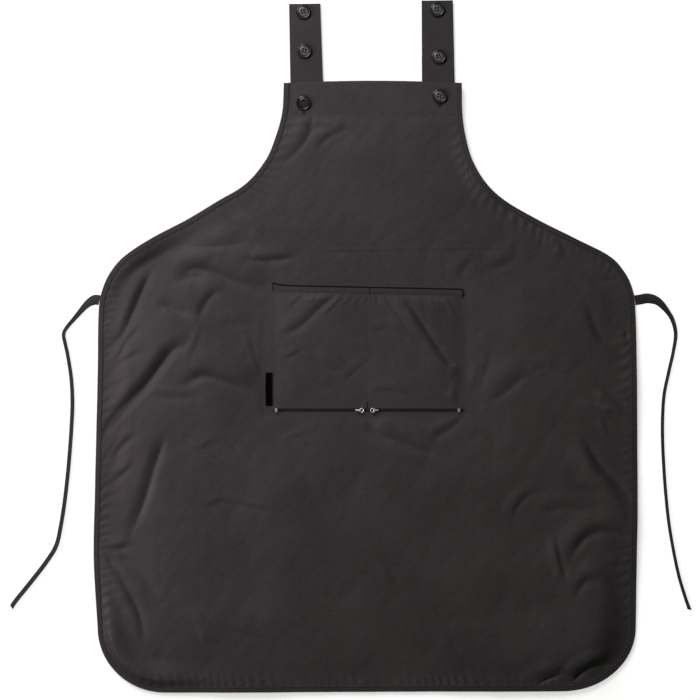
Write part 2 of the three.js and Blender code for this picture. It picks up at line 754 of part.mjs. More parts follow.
const zips = new THREE.Group();
zips.position.set(0, ZIP.y, SKIRT_TOP + GAP);
apron.add(zips);
const coilTop = CLOTH + ZIP.coilHeight + GAP;
for (const side of SIDES) {
  const chain = addPiece(`zip_chain_${side}`, zipChain(ZIP_RUN[side]), ZIP_NYLON, zips);
  chain.position.x = ZIP_RUN[side].from;
  chain.rotation.set(Math.PI / 2, Math.PI / 2, 0);

  const stopShape = extrude(roundedBar(STOP.length, STOP.width, STOP.round), STOP.height);
  addPiece(`zip_stop_${side}`, stopShape, NICKEL, zips).position.set(STOP_X[side], 0, coilTop);

  const slider = new THREE.Group();
  slider.position.set(SLIDER_X[side], 0, coilTop);
  slider.rotation.z = side === "left" ? 0 : Math.PI;
  zips.add(slider);
  addPiece(`zip_slider_${side}`, zipSlider(), NICKEL, slider);
  const hinge = addPiece(`zip_pull_${side}`, zipPull(), NICKEL, slider);
  hinge.position.z = SLIDER.plate + GAP + PULL.thick / 2;
}

for (const side of SIDES) {
  addPiece(`strap_${side}`, strap(side), POLYESTER);
  addPiece(`tie_${side}`, tie(TIE_ROUTES[side]), TAPE);
}

const strapTop = STRAP_FRONT + CLOTH / 2 + GAP;
for (const { name, x, y, onBib } of BUTTONS) {
  const seat = onBib ? bodyRest(y) + CLOTH / 2 + GAP : strapTop;
  addPiece(name, button(seat - strapTop), BUTTON_RESIN).position.set(x, y, seat);
}

export default apron;
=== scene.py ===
import math

import bmesh
import bpy
import numpy as np
from mathutils import Matrix, Vector


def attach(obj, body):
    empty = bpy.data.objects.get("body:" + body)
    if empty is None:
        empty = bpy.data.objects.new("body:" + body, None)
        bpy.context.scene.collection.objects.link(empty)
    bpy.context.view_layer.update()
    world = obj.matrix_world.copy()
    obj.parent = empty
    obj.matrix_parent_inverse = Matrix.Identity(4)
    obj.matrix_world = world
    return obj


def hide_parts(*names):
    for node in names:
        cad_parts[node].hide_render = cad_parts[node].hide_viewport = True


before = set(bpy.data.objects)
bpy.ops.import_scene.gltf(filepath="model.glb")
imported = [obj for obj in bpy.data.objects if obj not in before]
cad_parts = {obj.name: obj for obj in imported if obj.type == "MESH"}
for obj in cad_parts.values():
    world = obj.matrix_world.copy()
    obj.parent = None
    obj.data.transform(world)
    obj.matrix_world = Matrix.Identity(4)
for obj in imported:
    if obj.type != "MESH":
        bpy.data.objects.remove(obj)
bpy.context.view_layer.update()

# A dark bib apron laid out flat. Sizes are in millimetres and become metres where a mesh is made.
MM = 0.001
UP, DOWN = (0, 0, 1), (0, 0, -1)


def rows_of(columns, rows):
    return [dict(zip(columns.split(), row)) for row in rows]


# Where the photograph's pixels lie on the table
PIXEL = 1.3
ORIGIN_PIXEL = (365.5, 346.5)
PHOTO_MIDDLE = (350, 350)
PHOTO_WIDTH = 700


def spot(px, py):
    return (px - ORIGIN_PIXEL[0]) * PIXEL, (ORIGIN_PIXEL[1] - py) * PIXEL


# Finished outline of the body
EDGE = rows_of("y left right", [
    (342, -106, 125),
    (305, -108, 125.5),
    (274, -116, 129.5),
    (242, -129.5, 138.5),
    (211, -155.5, 157),
    (188, -193, 183),
    (164, -233, 225),
    (141, -276, 271),
    (118, -311, 316),
    (98, -329.5, 335.5),
    (75, -341, 346.5),
    (45, -346.5, 350.5),
    (-40, -348, 352),
    (-190, -351.5, 353),
    (-275, -353, 352),
    (-365, -348, 351),
])
HEM_CORNER = {"left": (88, 84.5), "right": (95, 82.5)}
CORNER_STEPS = 40
EDGE_STEPS = 1300
SIDES = {"left": -1, "right": 1}
BIB_TOP = EDGE[0]
BIB_ARCH, BIB_ARCH_RUN = 3, 70

# Cloth
CLOTH = 0.5
PANEL_INSET = 1.3
RIM = 8
BODY_COLUMNS = 288
BODY_ROWS = 326
REVERSE_COLUMNS = 150
REVERSE_ROWS = 170
REVERSE_SLACK = 0.4
HEM_FOLD_ROWS = 5
HEM_ROWS = 8
HEM_DEPTH = 41
HEM_Y = BIB_TOP["y"] - HEM_DEPTH
HEM_SIDE_CLEAR = 9
HEM_FOLD_RADIUS = 0.7
HEM_GROOVE = {"depth": 0.25, "width": 1.4}
HEM_SEAM = {"from": BIB_TOP["left"] + 9.5, "to": BIB_TOP["right"] - 8.5, "steps": 160, "slant": 0.05}
CROWDING = 0.35
SKIRT_MID = 1.8
BIB_LIFT = 2.3
LIFT_FROM, LIFT_TO = 105, 212
BILLOW, BIB_FLATTER = 4.2, 0.5
CORNER_PUFF = {
    "left": {"height": 9.5, "crest": 18, "from": 46, "spread": 62},
    "right": {"height": 13.0, "crest": 52, "from": 118, "spread": 80},
}
PUFF_ACROSS, PUFF_DOWN = 0.3, 0.7
LOWEST_MID = 0.9
CLEAR_OF_STRAPS = 62

# Soft uneven waves
RIPPLES = {
    "loose": {"seed": 3, "length": 130, "height": 0.6},
    "turned": {"seed": 8, "length": 40, "height": 0.12},
    "fine": {"seed": 5, "length": 14, "height": 0.06},
    "pocket": {"seed": 21, "length": 48, "height": 0.3},
    "strap_left": {"seed": 31, "length": 46, "height": 0.1},
    "strap_right": {"seed": 37, "length": 46, "height": 0.1},
}
CREASES = rows_of("seed length height", [(41, 110, 0.5), (43, 52, 0.22)])
WAVE_COUNT = 7
WAVE_LENGTHS = (0.7, 1.5)
WAVE_SHIFT = 6.28

# Places where the sewn edge curls up off the table, by pixel
EDGE_LIFTS = rows_of("px py height spread reach", [
    (134, 253, 6.5, 60, 27),
    (478, 184, 2.2, 40, 26),
    (635, 390, 3.5, 70, 120),
    (635, 520, 3.5, 70, 120),
    (520, 693, 2.5, 80, 90),
    (250, 693, 2.0, 80, 90),
])
EDGE_WAVE = {"height": 0.35, "long": 31, "short": 13.7, "shift": 1, "fades_by": 26}

# Tape round the edge and on the pocket's mouth
TAPE = 0.3
TAPE_COVER = 6.5
TAPE_OFF = 0.45
TAPE_TOP = TAPE_OFF + TAPE / 2
TAPE_TURN = PANEL_INSET - TAPE_OFF - TAPE / 2
TAPE_POINTS = {"face": 7, "turn": 7, "back": 5}
TAPE_STEP = 3.0
TAPE_SINK, TAPE_SINK_RUN = 0.3, 1.6
TAPE_FACE = (0.5, -2.5)
TAPE_GATHERS = {"height": 0.13, "length": 1.35, "sway": 9}
TAPE_UNEVEN = {"height": 0.3, "short": 17, "long": 41, "reach": -4}
TAPE_SEAM = {"depth": PANEL_INSET + 4.9, "steps": 1700}
PUFF_START = TAPE_COVER - 1

# Pocket
POCKET = {"left": -121, "right": 127, "bottom": -80, "mouth_left": 77.1, "mouth_right": 71.9}
POCKET_MARGIN = 1
ZIP_ROOM = 6
POCKET_MID = 2.1
POCKET_PRESS, PRESS_EASE = 0.5, 34
POCKET_PUFF = 1.4
POCKET_EASE = {"edge": (2, 18), "seam": 60, "puff": 45, "tape": (5, 16)}
POCKET_EDGE_SINK, SINK_EASE = 0.65, 14
POCKET_CLOTH = 0.3
POCKET_COLUMNS = 200
POCKET_ROWS = 130
MOUTH_MID = 2.7
MOUTH_COVER = 5.5
MOUTH_REST_EASE = (MOUTH_COVER + 1, MOUTH_COVER + 30)
MOUTH_SINK_EASE = (MOUTH_COVER, MOUTH_COVER + 5)
MOUTH_FLICK, MOUTH_FLICK_RUN = 3.5, 8
MOUTH_ROWS = 110
MOUTH_GATHERS = {"height": 0.12, "length": 1.25, "sway": 8}
MOUTH_SEAM = {"from": POCKET["left"] + 1, "to": POCKET["right"] - 1, "up": 1.3, "steps": 120}
POCKET_GATHERS = {
    "height": 0.1, "pitch": 6.4, "sway": 0.5, "sway_length": 13, "jitter": 0.25, "jitter_length": 3.7,
    "least": 0.35, "more": 0.65, "middle": -2, "spread": 42,
    "start": (4, 8), "run": 7, "run_more": 5, "run_length": 5.3,
}
SEAM_X = 3
SEAM_GROOVE = {"depth": 0.12, "width": 1.3}
SEAM = {"end": 1, "steps": 90, "sunk": 0.1, "slant": 0.03}
SEAM_XS = {"left": POCKET["left"] + 1.6, "middle": SEAM_X, "right": POCKET["right"] - 1.6}
BAR_TACK = {"down": 2.0, "long": 9.5, "rows": 32, "wide": 1.5, "proud": 0.12}
BAR_TACK_XS = {"left": POCKET["left"] + 0.9, "middle": SEAM_X + 2.6, "right": POCKET["right"] - 0.9}
BOTTOM_TACK = {"x": SEAM_X - 1, "y": POCKET["bottom"] + 4.5, "long": 8, "rows": 28}
# Near-black strip above the pocket's mouth: painted shadow of the opening
MOUTH_SHADOW_STRIP = {"from": -1.5, "to": 3.2, "mid": 2.2, "end": 0.5, "columns": 110, "rows": 4, "thick": 0.3}

# Folds, by pixel: each line runs down the middle of a fall, whose low side is on the line's right.
# Sizes in millimetres: drop is the fall's height, band its width and reach the width of the rise before it.
# dip is the share of the drop below the rest; starts and stops are the shares in which the ends fade.
FOLD_COLUMNS = "drop band reach dip starts stops line"
BODY_FOLDS = rows_of(FOLD_COLUMNS, [
    (9.0, 16, 80, 0.55, 0.08, 0.30,
     [(92, 434), (102, 425), (115, 410), (140, 384), (158, 360), (171, 345), (196, 334)]),
    (5.6, 12, 50, 0.55, 0.10, 0.30,
     [(93, 351), (103, 345), (118, 334), (130, 309), (142, 281), (152, 261)]),
    (2.8, 7, 12, 0.40, 0.30, 0.30, [(121, 279), (134, 267), (147, 256), (160, 253)]),
    (2.0, 6, 9, 0.45, 0.30, 0.30, [(106, 300), (118, 279), (136, 262), (156, 245)]),
    (2.6, 6, 16, 0.50, 0.10, 0.40, [(103, 362), (117, 355), (126, 339), (144, 321)]),
    (2.4, 7, 16, 0.50, 0.10, 0.50, [(102, 373), (120, 360), (136, 352), (154, 347)]),
    (1.2, 6, 8, 0.50, 0.10, 0.50, [(103, 385), (118, 380), (134, 375)]),
    (6.0, 24, 30, 0.50, 0.40, 0.35, [(150, 301), (168, 297), (184, 303), (202, 306)]),
    (3.4, 10, 20, 0.50, 0.30, 0.30, [(193, 321), (202, 303), (212, 291), (226, 292)]),
    (3.4, 8, 18, 0.55, 0.30, 0.30, [(240, 255), (262, 258), (300, 254)]),
    (7.0, 16, 44, 0.50, 0.35, 0.30, [(172, 274), (188, 264), (206, 264), (240, 278), (274, 290)]),
    (3.6, 22, 26, 0.50, 0.40, 0.40, [(168, 277), (190, 269), (214, 270)]),
    (2.8, 18, 24, 0.50, 0.40, 0.40, [(180, 239), (215, 240), (252, 235)]),
    (1.7, 10, 14, 0.40, 0.30, 0.30, [(226, 216), (249, 227), (259, 242)]),
    (6.4, 15, 44, 0.55, 0.40, 0.30, [(172, 386), (200, 371), (226, 376), (258, 391)]),
    (2.4, 11, 5, 0.70, 0.30, 0.50, [(142, 389), (172, 394), (208, 392)]),
    (1.2, 6, 9, 0.50, 0.40, 0.40, [(185, 365), (192, 350), (198, 335), (204, 320)]),
    (1.2, 5, 8, 0.50, 0.30, 0.40, [(269, 384), (258, 368), (250, 345), (243, 323)]),
    (1.4, 11, 12, 0.50, 0.40, 0.40, [(214, 318), (232, 320), (252, 320)]),
    (1.2, 7, 9, 0.50, 0.40, 0.40, [(264, 342), (263, 326), (272, 306)]),
    (2.6, 6, 11, 0.50, 0.10, 0.40, [(94, 468), (102, 458), (111, 445), (122, 431)]),
    (3.0, 8, 14, 0.50, 0.20, 0.40, [(108, 459), (123, 441), (140, 430)]),
    (3.0, 7, 14, 0.50, 0.10, 0.40, [(92, 488), (101, 484), (115, 476), (127, 467), (134, 456)]),
    (5.2, 16, 54, 0.55, 0.40, 0.25, [(122, 540), (138, 502), (149, 466), (162, 428)]),
    (4.2, 8, 12, 0.50, 0.10, 0.30, [(97, 543), (112, 546), (131, 543)]),
    (4.6, 10, 16, 0.50, 0.40, 0.10, [(142, 652), (138, 621), (130, 600), (115, 575), (100, 555)]),
    (3.4, 16, 16, 0.50, 0.40, 0.20, [(159, 606), (136, 576), (112, 556)]),
    (1.5, 9, 14, 0.45, 0.40, 0.40, [(189, 607), (199, 628), (208, 648)]),
    (0.9, 6, 9, 0.50, 0.40, 0.40, [(212, 621), (244, 630), (274, 638)]),
    (1.4, 5, 9, 0.50, 0.30, 0.40, [(230, 439), (245, 455), (264, 463)]),
    (1.1, 5, 9, 0.50, 0.40, 0.40, [(193, 452), (210, 442), (227, 438)]),
    (1.5, 5, 10, 0.50, 0.30, 0.40, [(197, 509), (222, 499), (250, 505), (290, 513)]),
    (0.8, 5, 8, 0.50, 0.40, 0.40, [(283, 443), (300, 434), (320, 428)]),
    (4.6, 6, 12, 0.45, 0.20, 0.30, [(562, 258), (561, 248), (555, 239), (543, 236)]),
    (3.2, 10, 14, 0.45, 0.30, 0.30, [(580, 266), (600, 277), (620, 272)]),
    (3.0, 11, 24, 0.45, 0.30, 0.40, [(624, 346), (600, 342), (588, 321), (580, 299)]),
    (5.0, 6, 11, 0.50, 0.10, 0.30, [(634, 351), (628, 343), (620, 329)]),
    (3.0, 6, 10, 0.45, 0.10, 0.30, [(633, 313), (630, 304), (624, 296)]),
    (1.6, 14, 16, 0.45, 0.40, 0.40, [(614, 306), (600, 294), (582, 283)]),
    (3.2, 18, 24, 0.45, 0.30, 0.30, [(481, 398), (500, 388), (515, 375), (528, 365)]),
    (1.6, 12, 12, 0.45, 0.40, 0.40, [(524, 370), (540, 364), (558, 370)]),
    (3.8, 8, 14, 0.45, 0.20, 0.30, [(627, 412), (610, 398), (594, 387)]),
    (2.8, 6, 11, 0.45, 0.20, 0.40, [(614, 409), (595, 404), (576, 396)]),
    (1.6, 5, 9, 0.45, 0.30, 0.40, [(609, 435), (604, 427), (598, 418)]),
    (1.3, 7, 10, 0.50, 0.30, 0.40, [(476, 396), (484, 366), (491, 343)]),
    (1.0, 6, 8, 0.50, 0.30, 0.40, [(468, 402), (476, 372), (484, 345)]),
    (1.8, 10, 14, 0.45, 0.40, 0.40, [(452, 278), (464, 263), (474, 256)]),
    (1.8, 11, 16, 0.45, 0.40, 0.40, [(484, 270), (500, 262), (519, 254)]),
    (1.6, 9, 13, 0.45, 0.40, 0.40, [(336, 256), (348, 263), (359, 274)]),
    (4.2, 12, 28, 0.55, 0.20, 0.40, [(368, 416), (380, 430), (400, 437), (420, 445), (446, 452)]),
    (1.8, 12, 16, 0.45, 0.40, 0.40, [(362, 438), (385, 450), (410, 460), (438, 469)]),
    (2.8, 10, 14, 0.45, 0.30, 0.10, [(426, 437), (444, 428), (460, 415)]),
    (7.5, 13, 22, 0.45, 0.10, 0.40,
     [(637, 514), (624, 499), (611, 484), (598, 471), (586, 453), (576, 431)]),
    (1.6, 10, 12, 0.45, 0.40, 0.40, [(570, 484), (584, 485), (602, 491)]),
    (2.4, 14, 12, 0.60, 0.40, 0.40, [(530, 511), (560, 503), (596, 507)]),
    (2.3, 8, 14, 0.45, 0.40, 0.40, [(507, 524), (515, 505), (527, 492), (545, 487)]),
    (5.0, 14, 22, 0.45, 0.30, 0.15,
     [(561, 565), (571, 546), (585, 531), (605, 526), (632, 532), (644, 536)]),
    (4.0, 13, 18, 0.45, 0.40, 0.40, [(568, 599), (578, 581), (590, 575), (610, 585)]),
    (3.0, 5, 12, 0.45, 0.30, 0.30, [(564, 583), (558, 560), (552, 535)]),
    (2.6, 6, 9, 0.45, 0.40, 0.10, [(602, 561), (620, 562), (634, 569)]),
    (1.4, 9, 12, 0.45, 0.40, 0.40, [(396, 588), (388, 572), (380, 558)]),
    (1.5, 8, 10, 0.45, 0.40, 0.40, [(457, 656), (451, 646), (443, 635)]),
    (1.0, 7, 10, 0.45, 0.40, 0.40, [(462, 628), (480, 632), (499, 638)]),
    (6.5, 10, 18, 0.45, 0.20, 0.30, [(524, 690), (545, 675), (566, 668)]),
    (8.5, 9, 18, 0.45, 0.20, 0.30, [(568, 682), (578, 670), (596, 660), (618, 662)]),
    (5.0, 20, 18, 0.25, 0.20, 0.15, [(271, 158), (286, 152), (297, 140), (304, 128), (304, 113)]),
    (1.2, 7, 8, 0.70, 0.30, 0.30, [(306, 121), (320, 126), (338, 121)]),
    (2.1, 10, 14, 0.45, 0.40, 0.40, [(310, 149), (330, 133), (354, 123)]),
    (1.7, 6, 7, 0.70, 0.20, 0.30, [(295, 132), (290, 124), (284, 117)]),
    (0.45, 2.8, 4, 0.60, 0.20, 0.20, [(294, 252), (400, 250), (512, 248)]),
    (0.40, 2.8, 4, 0.60, 0.20, 0.20, [(312, 274), (310, 252), (308, 232)]),
    (0.50, 2.8, 4, 0.60, 0.20, 0.20, [(443, 284), (442, 266), (441, 247)]),
    (0.45, 2.8, 4, 0.60, 0.20, 0.20, [(483, 276), (481, 262), (478, 246)]),
])
POCKET_FOLDS = rows_of(FOLD_COLUMNS, [
    (2.5, 11, 20, 0.60, 0.30, 0.10, [(270, 336), (295, 325), (312, 310), (325, 298), (335, 291)]),
    (0.9, 4, 6, 0.60, 0.40, 0.10, [(320, 318), (332, 307), (345, 293)]),
    (0.8, 5, 6, 0.60, 0.40, 0.10, [(288, 307), (296, 300), (305, 291)]),
    (3.6, 10, 22, 0.45, 0.10, 0.25,
     [(466, 362), (450, 366), (440, 357), (425, 335), (410, 312), (395, 294)]),
    (0.9, 6, 9, 0.50, 0.40, 0.10, [(428, 358), (410, 335), (395, 315), (380, 292)]),
    (1.2, 5, 7, 0.50, 0.20, 0.10, [(462, 319), (454, 311), (445, 296)]),
    (1.0, 9, 10, 0.50, 0.40, 0.40, [(368, 332), (385, 326), (401, 334)]),
    (1.2, 7, 10, 0.50, 0.40, 0.40, [(341, 340), (358, 347), (375, 354)]),
    (1.5, 12, 14, 0.50, 0.40, 0.40, [(310, 354), (330, 364), (348, 373)]),
    (1.2, 9, 10, 0.50, 0.40, 0.40, [(339, 382), (355, 368), (371, 359)]),
    (0.8, 8, 10, 0.50, 0.40, 0.40, [(296, 373), (316, 380), (336, 386)]),
    (1.5, 9, 12, 0.50, 0.40, 0.40, [(366, 395), (385, 388), (414, 394)]),
    (1.1, 5, 9, 0.50, 0.30, 0.40, [(271, 350), (287, 356), (305, 345)]),
    (2.2, 10, 12, 0.40, 0.20, 0.30, [(452, 405), (464, 382), (469, 362)]),
    (0.7, 3, 4, 0.60, 0.40, 0.10, [(342, 306), (349, 299), (354, 292)]),
    (0.6, 3, 4, 0.60, 0.40, 0.10, [(353, 308), (357, 300), (359, 292)]),
    (0.6, 3, 4, 0.60, 0.40, 0.10, [(363, 305), (365, 299), (365, 292)]),
    (0.6, 3, 4, 0.60, 0.40, 0.10, [(379, 307), (375, 300), (373, 293)]),
    (0.7, 3, 4, 0.60, 0.40, 0.10, [(390, 305), (384, 299), (380, 293)]),
    (0.6, 3, 4, 0.60, 0.40, 0.10, [(310, 304), (314, 298), (318, 291)]),
    (0.6, 3, 4, 0.60, 0.40, 0.10, [(425, 308), (420, 301), (416, 294)]),
    (0.6, 3, 4, 0.60, 0.40, 0.10, [(437, 310), (432, 302), (428, 295)]),
])
FOLD_LIP = {"run": 7, "least": 0.5, "more": 2}
FOLD_EASE = 12
FOLD_RIM = RIM - 2
FOLD_STEPS = 6
EDGE_EASE = {"rise": 38, "dip": 10}
BILLOW_EASE = {"pocket": 110, "edge": 100, "hem": 60}
PUCKERS = {
    "height": 0.8, "pitch": 11.5, "lean": 42,
    "sway": 0.5, "sway_length": 23, "drift": 0.3, "drift_length": 57,
    "even": 0.55, "uneven": 0.45, "uneven_long": 71, "uneven_short": 29, "shift": 2,
    "start": (6, 11), "crest": 10, "reach": 9, "reach_more": 7, "reach_length": 19,
}

# Zips
ZIP_Y = -82.8
ZIP_TAPE = {"y": -82.4, "width": 2.7, "sag": 0.15, "down": 0.1, "thick": 0.5, "columns": 90, "rows": 8}
ZIP_SEAT = 2.6
ZIP_RUN = {"left": (-120, 1.5), "right": (3.5, 126.5)}
TOOTH = {
    "size": (0.5, 1.15, 0.55), "pitch": 1.15, "first": 1, "last": 0.6,
    "shift": 0.32, "tilt": 9, "up": 0.5, "around": 8, "rings": 5,
}
STOP_X = {"left": -115.7, "right": 121.3}
STOP = {"long": 1.8, "wide": 2.7, "high": 0.9, "bevel": 0.35, "bevel_steps": 3, "around": 28}
SLIDER_X = {"left": -7.3, "right": 11.5}
SLIDER_SEAT = 4.8
SLIDER = {
    "tail_x": -5.2, "tail": 1.0, "ring_x": 1.9, "ring": 2.6, "neck": 2.75, "ring_steps": 25,
    "hole_x": 2.7, "hole": 1.3, "hole_steps": 16, "plate": 1.0, "bevel": 0.22,
}
SLIDER_SIDE = {"size": (3.4, 0.6, 1.0), "x": 1.5, "off": 2.2, "z": -0.4}
CROWN = {
    "foot": 0.9, "roof": 2.6, "ridge": 3.4, "bar": 0.75, "slope": 0.7,
    "back": -2.75, "front": 1.5, "half": 0.65, "bevel": 0.2,
}
SHARP_ANGLE = 0.6
PULL_HINGE_Z = 6.55
PULL = {
    "bow": 2.75, "bow_reach": 2.25, "bar": 2.3, "bar_from": -0.2, "half": 2.6, "square": 0.75,
    "wire": 0.45, "around": 12, "steps": 56,
}

# Woven tab in the pocket's left seam
TAB = {
    "width": 8.5, "top": -34, "bottom": -77, "mid": 2.6, "gap": 0.3, "thick": 0.6,
    "columns": 14, "rows": 60,
    "curl": 0.5, "curl_even": 0.6, "curl_uneven": 0.4, "curl_length": 9, "sway": 0.15, "sway_length": 7,
}
TAB_SEAM = {"end": 0.8, "in": 1.0, "up": 0.42, "steps": 40}
TAB_STITCH = {"pitch": 2.4, "length": 1.9, "radius": 0.18}

# Buttons
BUTTON_RADIUS = 9.6
BUTTON_HEIGHT = 3.6
BUTTON_STEPS = 64
BUTTON_HOLE = 1.0
BUTTON_HOLE_OFF = 1.7
BUTTON_SEAT = 2.6
BIB_BUTTON_SEAT = 4.9
BUTTONS = rows_of("name x y on_bib turn lean", [
    ("button_left_top", -80.6, 434.2, False, 12, 0),
    ("button_left_middle", -79.2, 383.4, False, -8, 1),
    ("button_left_bib", -80.3, 316, True, 40, 7),
    ("button_right_top", 93, 437.4, False, 5, 2),
    ("button_right_middle", 95, 376, False, 20, 0),
    ("button_right_bib", 96, 324.7, True, -15, 1),
])
# Shares of a button's radius and height, from the middle of its underside round to that of its face
BUTTON_PROFILE = [
    (0, 0), (0.6, 0), (0.82, 0.08), (0.93, 0.24), (0.99, 0.46), (1, 0.60), (0.98, 0.76), (0.93, 0.91),
    (0.88, 0.985), (0.845, 1), (0.81, 0.985), (0.775, 0.90), (0.745, 0.74), (0.72, 0.60),
    (0.695, 0.585), (0.67, 0.60), (0.64, 0.655), (0.58, 0.675), (0.40, 0.67), (0, 0.66),
]
DRILL = {"around": 20, "deep": 12, "z": 2}
STRANDS = (-0.36, 0, 0.36)
STRAND = {"length": 2 * BUTTON_HOLE_OFF + 1.2, "radius": 0.22, "around": 8, "rings": 7, "dip": 0}
STRAND_Z = BUTTON_HEIGHT * 0.62 - 0.1
SHANK = {"foot": 1.5, "top": 1.1, "height": 2.6, "seat": 2.5, "around": 14}
SLIT_ABOVE, SLIT_BELOW = 2, 13
# Near-black strip along each buttonhole: painted shadow in the slit
SLIT_SHADOW_STRIP = {"width": 0.9, "up": 0.04, "thick": 0.1, "columns": 2, "rows": 24, "every": 3}
HOLE_STITCH = {"length": 1.9, "radius": 0.3}
HOLE_SEAM = {"pitch": 0.55, "off": 1.25, "up": 0.1, "bar": 1.6, "bar_threads": 7, "bar_below": 0.8}

# Straps
STRAPS = {
    "left": {"top_x": -79, "top_y": 446, "bib_x": -76.3, "waist_x": 288, "over": False},
    "right": {"top_x": 93.2, "top_y": 449.5, "bib_x": 94.6, "waist_x": -284, "over": True},
}
STRAP_TOP_WIDTH = 40.6
STRAP_BIB_WIDTH = 42.6
STRAP_WAVE_HALF = 20
STRAP_ROLL, STRAP_ROLL_POWER = 0.08, 6
STRAP_FADE_POWER = 4
STRAP_COLUMNS = 14
STRAP_ROWS = 260
STRAP_TURN_STEPS = 8
STRAP_END_Y = 288
STRAP_BEND_Y = 296
STRAP_WAIST_Y = 92
STRAP_FRONT, STRAP_BACK = 1.8, 0.72
STRAP_CLOTH = 0.9
BRIDGE_HALF, BRIDGE_RAMP = 46, 28

# Ties: points along the tape with its tilt in degrees
TIE_WIDTH = 13
TIE_CLOTH = 0.6
TIE_STEPS = 150
TIE_COLUMNS = 6
TIE_FLAT_MID = 0.5
TIE_ROOT = 0.12
TIES = {
    "left": [
        (-345.5, 60, 0), (-352, 60.5, -10), (-362, 54, -42), (-376, 38, -58), (-387, 25, -62),
        (-391.5, 16, -62), (-389.5, 4, -62), (-386, -12, -62), (-381.5, -42, -61), (-380, -72, -60),
        (-381, -100, -60), (-383, -130, -60), (-386, -165, -60), (-390, -200, -60), (-395, -232, -60),
        (-401, -258, -60), (-413, -278, -62), (-432, -303, -62), (-453, -329, -62), (-459, -338, -60),
    ],
    "right": [
        (349.9, 60, 0), (357, 61, 0), (367, 62.5, -14), (379, 58.5, -48), (390, 47, -70),
        (398, 34, -78), (402, 16, -82), (399, -6, -84), (393, -33, -84), (387, -62, -84),
        (385, -92, -84), (385, -122, -84), (386.5, -155, -84), (389, -190, -84), (393, -228, -84),
        (399, -264, -84), (406, -297, -83), (414, -324, -82), (420, -341, -80),
    ],
}

# Thread
STITCH_PITCH = 3.1
STITCH_LENGTH = 2.5
STITCH_SLANT = 0.12
THREAD_RADIUS = 0.24
# Edge stitches are thicker and black: real thread that also paints the shade of the stitched groove
EDGE_THREAD_SHADE_RADIUS = 0.33
BAR_THREAD_RADIUS = 0.2
THREAD_PROUD = 0.08


# Small helpers
def ease(start, end, value):
    t = np.clip((value - start) / (end - start), 0, 1)
    return t * t * (3 - 2 * t)


def blend(a, b, t):
    return a + (b - a) * t


def smooth_run(points, per_span=16):
    """A smooth line through points."""
    p = np.asarray(points, float)
    p = np.vstack([2 * p[0] - p[1], p, 2 * p[-1] - p[-2]])
    t = np.linspace(0, 1, per_span, endpoint=False)[:, None]
    spans = []
    for a, b, c, d in zip(p[:-3], p[1:-2], p[2:-1], p[3:]):
        bend = 2 * a - 5 * b + 4 * c - d
        twist = 3 * b - a - 3 * c + d
        spans.append(b + 0.5 * ((c - a) * t + bend * t**2 + twist * t**3))
    return np.vstack([*spans, p[-2:-1]])


def side_by_side(*columns):
    """Columns of an array; a single number fills its column."""
    return np.stack(np.broadcast_arrays(*columns), axis=1)


def unit(vectors):
    return vectors / np.linalg.norm(vectors, axis=-1, keepdims=True)


def lengths_along(points):
    steps = np.linalg.norm(np.diff(points, axis=0), axis=1)
    return np.concatenate([[0], np.cumsum(steps)])


def at_length(rows, along, want):
    """Rows between rows, at wanted lengths along a line."""
    return np.stack([np.interp(want, along, column) for column in rows.T], axis=1)


def spaced(run, shares):
    """Rows of a line at shares of its length on the table."""
    along = lengths_along(run[:, :2])
    return at_length(run, along, np.asarray(shares) * along[-1])


def waves(x, y, seed, length, height):
    """Soft uneven waves of about a given length and height."""
    rng = np.random.default_rng(seed)
    total = np.zeros_like(x, dtype=float)
    for _ in range(WAVE_COUNT):
        angle = rng.uniform(0, math.pi)
        k = 2 * math.pi / (length * rng.uniform(*WAVE_LENGTHS))
        total += np.sin(k * (x * math.cos(angle) + y * math.sin(angle)) + rng.uniform(0, WAVE_SHIFT))
    return height * (total / math.sqrt(WAVE_COUNT))


# Outline
def finished_edge(side):
    run = smooth_run([(row[side], row["y"]) for row in EDGE])
    across, down = HEM_CORNER[side]
    start = run[-1]
    turn = np.linspace(0, math.pi / 2, CORNER_STEPS)[1:]
    x = start[0] - SIDES[side] * across * (1 - np.cos(turn))
    y = start[1] - down * np.sin(turn)
    return np.vstack([run, side_by_side(x, y)])


EDGE_RUN = {side: finished_edge(side) for side in SIDES}
WHOLE_EDGE = np.vstack([EDGE_RUN["left"], EDGE_RUN["right"][::-1]])
WHOLE_LENGTH = lengths_along(WHOLE_EDGE)[-1]
EDGE_POINTS = spaced(WHOLE_EDGE, np.linspace(0, 1, EDGE_STEPS))
EDGE_ALONG = np.linspace(0, WHOLE_LENGTH, EDGE_STEPS)


def edge_normals(points):
    """Outward normals of the outline, which runs down the left side and up the right one."""
    way = unit(np.gradient(points, axis=0))
    return side_by_side(way[:, 1], -way[:, 0])


def edge_near(x, y, chunk=4000):
    """Distance to the outline and the place along it."""
    far, along = np.empty_like(x), np.empty_like(x)
    for i in range(0, len(x), chunk):
        part = slice(i, i + chunk)
        dx = x[part, None] - EDGE_POINTS[None, :, 0]
        dy = y[part, None] - EDGE_POINTS[None, :, 1]
        square = dx * dx + dy * dy
        nearest = square.argmin(axis=1)
        far[part] = np.sqrt(square[np.arange(len(nearest)), nearest])
        along[part] = EDGE_ALONG[nearest]
    return far, along


# Relief of the laid cloth
def body_rest(y):
    return SKIRT_MID + BIB_LIFT * ease(LIFT_FROM, LIFT_TO, y)


